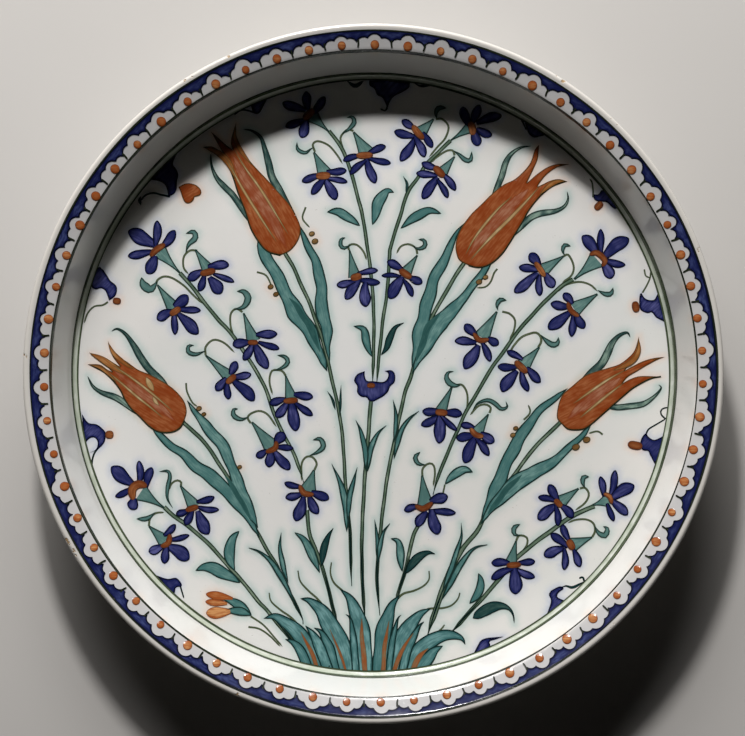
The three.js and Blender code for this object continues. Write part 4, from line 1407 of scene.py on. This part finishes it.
def paint_rings():
    """The dark line at the top of the wall, the pair of green lines at its foot, the line under the lip."""
    heavy = lambda turn: 0.82 + 0.28 * math.cos(turn - 2.6) + 0.12 * math.sin(9 * turn)
    paint_ring("black_line", WALL_LINE, heavy, BLACK, lift=0.1)
    fine = lambda turn: 0.62 + 0.16 * math.sin(5 * turn + 2) + 0.1 * math.sin(17 * turn)
    paint_ring("lip_line", BLUE_OUTER, fine, BLACK, lift=PETAL_LIFT + 0.03)
    wash_lift, line_lift = PETAL_LIFT + 0.06, PETAL_LIFT + 0.075
    paint_ring("green_wash", GREEN_WASH, lambda turn: 2.1, WASH, wash_lift)
    outer = lambda turn: 0.8 + 0.26 * math.cos(turn - 0.5) + 0.12 * math.sin(7 * turn)
    paint_ring("green_line_outer", GREEN_OUTER, outer, EDGE_GREEN, line_lift)
    inner = lambda turn: 0.75 + 0.2 * math.sin(2 * turn) + 0.12 * math.sin(11 * turn)
    paint_ring("green_line_inner", GREEN_INNER, inner, EDGE_GREEN, line_lift)


def paint_border():
    """Cobalt ground with half rosettes left white, their red dots, and the spikes between them."""
    angles = unit_angles()
    lobes = []
    for angle in angles:
        swell = hand.uniform(0.9, 1.1)
        for shift, radius, size in LOBES:
            turn = angle + (shift + hand.uniform(-0.4, 0.4)) / 151
            place = polar(turn, radius + hand.uniform(-0.5, 0.2))
            lobes.append((*place, size * swell * hand.uniform(0.84, 1.06)))
    lobes = np.array(lobes)
    paint = Paint()
    made = bmesh.ops.create_grid(paint.bm, x_segments=BLUE_COLUMNS, y_segments=5, size=1)["verts"]
    turns = math.pi * np.linspace(-1, 1, BLUE_COLUMNS + 1)
    inner = np.full(BLUE_COLUMNS + 1, BLUE_INNER)
    for x, y, size in lobes:
        centre = math.hypot(x, y)
        away = (turns - math.atan2(y, x) + math.pi) % math.tau - math.pi
        chord = size ** 2 - (centre * np.sin(away)) ** 2
        near = (np.abs(away) < 0.2) & (chord > 0)
        reach = centre * np.cos(away[near]) + np.sqrt(chord[near])
        inner[near] = np.maximum(inner[near], reach)
    inner = np.minimum(inner, BLUE_OUTER - 0.5)
    tone = 0.5 + 0.3 * np.sin(turns * 5) + 0.2 * np.sin(turns * 31)
    places = {}
    for v in made:
        i = round((v.co.x + 1) / 2 * BLUE_COLUMNS)
        share = (v.co.y + 1) / 2
        radius = inner[i] + (BLUE_OUTER - inner[i]) * share
        places[v] = (i, radius)
        v.co = (*polar(turns[i], radius), PETAL_LIFT)
    flat = np.array([v.co.xy for v in made])
    away = flat[:, None, :] - lobes[None, :, :2]
    clear = (np.hypot(away[:, :, 0], away[:, :, 1]) - lobes[:, 2]).min(1)
    for v, gap in zip(made, clear):
        i, radius = places[v]
        edge = max(0, min(gap, BLUE_OUTER - radius))
        paint.note(v, edge=edge, along=turns[i] * radius, side=radius, tone=float(tone[i]))
    bmesh.ops.remove_doubles(paint.bm, verts=made, dist=0.01)
    paint.thicken(paint.bm.faces[:])
    paint.lay("cobalt_border", GROUND_BLUE, "bleed_blue")
    paint_dots_and_spikes(angles)


def paint_dots_and_spikes(angles):
    """A raised red dot in each rosette, and a dark spike on each join."""
    quarter = (UNITS + 3) // 4
    for part in range(4):
        dots = Paint()
        spikes = Paint()
        for angle in angles[part * quarter:(part + 1) * quarter]:
            x, y = polar(angle, DOT_RADIUS + hand.uniform(-0.2, 0.2))
            size = hand.uniform(3.5, 4.4)
            across = [(x - size / 2, y), (x, y + 0.1), (x + size / 2, y)]
            dots.stroke(across, size, round_dot, PETAL_LIFT, dome=BOLE_RISE)
            turn = angle + (7.6 + hand.uniform(-0.3, 0.3)) / 150
            lean = hand.uniform(-0.003, 0.003)
            tip = polar(turn + lean, 149.2 + hand.uniform(-0.2, 0.3))
            spikes.stroke([polar(turn, 152.6), polar(turn, 151), tip], 0.9, thread, LINE_LIFT)
        name = "%d" % (part + 1)
        dots.lay("border_dots_" + name, DOT_RED, "bleed_red")
        spikes.lay("border_spikes_" + name, BLACK)


def round_dot(t):
    """A full circle."""
    return np.sqrt(np.clip(1 - (2 * t - 1) ** 2, 0, 1))


# ---------------------------------------------------------------- reverse
def paint_reverse():
    """Small blue florets between green sprays round the outside, and its two fine lines."""
    for name, height, wide in (("under_lip", 38.6, 0.8), ("over_heel", 16.5, 0.6)):
        line = Paint()
        turns = [(a * WALL_TOP[0] * math.tau / 60, height + 0.15 * math.sin(a)) for a in range(61)]
        line.stroke(turns, wide, bar, RING_LIFT)
        line.lay("reverse_line_" + name, BLACK, surface=on_outside)
    florets = Paint()
    eyes = Paint()
    sprays = Paint()
    room = WALL_TOP[0] * math.tau / 12
    for number in range(12):
        x = number * room
        middle = 27.8 + hand.uniform(-0.5, 0.5)
        for k in range(6):
            turn = math.tau * (k + 0.5) / 6
            root = (x + 1.6 * math.cos(turn), middle + 1.6 * math.sin(turn))
            tip = (x + 6.2 * math.cos(turn), middle + 6.2 * math.sin(turn))
            florets.stroke([root, tip], 4.6, petal, PETAL_LIFT)
        eyes.stroke([(x - 1.5, middle), (x + 1.5, middle)], 3, round_dot, HEART_LIFT, dome=0.1)
        for side in (-1, 1):
            near, far = x + side * 9, x + side * 29
            twig = [(near, middle), (near + side * 8, middle + side), (far, middle)]
            sprays.stroke(twig, 0.9, thread, STEM_LIFT)
            for lift in (-1, 1):
                frond = [(near + side * 2, middle), (near + side * 8, middle + lift * 4.4)]
                frond.append((near + side * 15, middle + lift * 5.6))
                sprays.stroke(frond, 3.6, leaf, LEAF_LIFT)
    florets.lay("reverse_florets", COBALT, surface=on_outside)
    eyes.lay("reverse_floret_eyes", DOT_RED, surface=on_outside)
    sprays.lay("reverse_sprays", LEAF, surface=on_outside)


# ---------------------------------------------------------------- turned pieces
def bled(samples, points, reach):
    """How much colour has bled to each point from the nearest sample."""
    tree = kdtree.KDTree(len(samples))
    for i, (x, y) in enumerate(samples):
        tree.insert((x, y, 0), i)
    tree.balance()
    return [math.exp(-(tree.find((x, y, 0))[2] / reach) ** 2) for x, y in points]


def turn_dish():
    """The glazed dish, with the bleed of each colour kept on its vertices."""
    shell = INSIDE + OUTSIDE
    inner = sunk(shell, GLAZE_DEPTH)[::-1]
    inner = [inner[0]] + inner[1:-1:3] + [inner[-1]]
    bm = turned(shell + inner, TURN_STEPS)
    flat = np.array([v.co[:] for v in bm.verts]) / MM
    height = np.interp(np.hypot(flat[:, 0], flat[:, 1]), *np.array(INSIDE).T)
    shown = [i for i in range(len(flat)) if flat[i, 2] > height[i] - 0.3]
    bm.verts.ensure_lookup_table()
    for name, (_, _, reach) in BLED.items():
        layer = bm.verts.layers.float.new(name)
        samples = np.vstack(BLEEDS[name])[::2]
        for i, value in zip(shown, bled(samples, flat[shown, :2], reach)):
            bm.verts[i][layer] = value
    made = piece(bm, "glazed_dish", WHITE)
    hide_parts("white_slip", "clear_glaze")


def turn_recess():
    """The glazed underside inside the foot ring."""
    inner = sunk(RECESS, GLAZE_DEPTH)[::-1]
    bm = turned(RECESS[::-1] + inner[::-1], 240)
    made = piece(bm, "glazed_recess", WHITE)
    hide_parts("recess_slip", "recess_glaze")


def turn_body():
    """The stonepaste under the glaze, bare where the foot stands."""
    upper = sunk(INSIDE + OUTSIDE, BODY_DEPTH)
    lower = sunk(RECESS, BODY_DEPTH)
    foot = [(103.9, 0.5), (103.4, 0), (98.6, 0), (98.1, 0.5)]
    keep = upper[:FLOOR_RINGS:6] + upper[FLOOR_RINGS::2] + [upper[-1]]
    bm = turned(keep + foot + lower, 240)
    made = piece(bm, "stonepaste_foot", BISCUIT)
    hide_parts("stonepaste_body")


# ---------------------------------------------------------------- scene
def build():
    for name, flower in HYACINTHS.items():
        paint_hyacinth(name, *flower)
    paint_line_work()
    for name, tulip in TULIPS.items():
        paint_tulip(name, **tulip)
    paint_tuft()
    paint_knot_and_bud()
    paint_florets()
    paint_red_bud()
    paint_rings()
    paint_border()
    paint_reverse()
    turn_dish()
    turn_recess()
    turn_body()


def aim(made, place, target):
    made.location = [c * MM for c in place]
    run = Vector(target) - Vector(place)
    made.rotation_mode = "QUATERNION"
    made.rotation_quaternion = run.to_track_quat("-Z", "Y")
    bpy.context.scene.collection.objects.link(made)


def make_camera():
    """Straight above the dish, its top at the top of the picture."""
    data = bpy.data.cameras.new("camera")
    data.sensor_width = 36
    data.lens = 36 * 1300 / 339.6
    data.clip_start = 0.05
    camera = bpy.data.objects.new("camera", data)
    aim(camera, (0.0, -35, 1346.5), (-0.4, 2, 46.5))
    bpy.context.scene.camera = camera


def make_light(name, place, width, height, power, warm):
    data = bpy.data.lights.new(name, "AREA")
    data.shape = "ELLIPSE"
    data.size = width
    data.size_y = height
    data.energy = power
    data.color = warm
    aim(bpy.data.objects.new(name, data), place, (0, 0, 20))


def light_scene():
    """A key from beyond the top of the dish, a broad soft one below it, and a low one on the near wall."""
    make_light("key", (-190, 1172, 1075), 0.17, 0.17, 19.6, (1.0, 0.985, 0.98))
    make_light("broad", (-210, 1265, 978), 1.2, 0.46, 13.2, (1.0, 0.985, 0.98))
    make_light("low", (-150, 1500, 230), 0.5, 0.5, 12, (1.0, 0.985, 0.97))
    world = bpy.data.worlds.new("studio")
    world.use_nodes = True
    world.node_tree.nodes["Background"].inputs["Color"].default_value = (1.0, 0.94, 0.88, 1)
    world.node_tree.nodes["Background"].inputs["Strength"].default_value = 0.004
    bpy.context.scene.world = world
    bpy.context.scene.view_settings.view_transform = "Standard"


def make_ground():
    bm = bmesh.new()
    bmesh.ops.create_grid(bm, x_segments=8, y_segments=8, size=2.5)
    bmesh.ops.translate(bm, verts=bm.verts, vec=(0, 0, -0.0003))
    mesh = bpy.data.meshes.new("ground")
    bm.to_mesh(mesh)
    bm.free()
    mesh.materials.append(ground_finish())
    ground = bpy.data.objects.new("ground", mesh)
    bpy.context.scene.collection.objects.link(ground)


build()
make_ground()
make_camera()
light_scene()
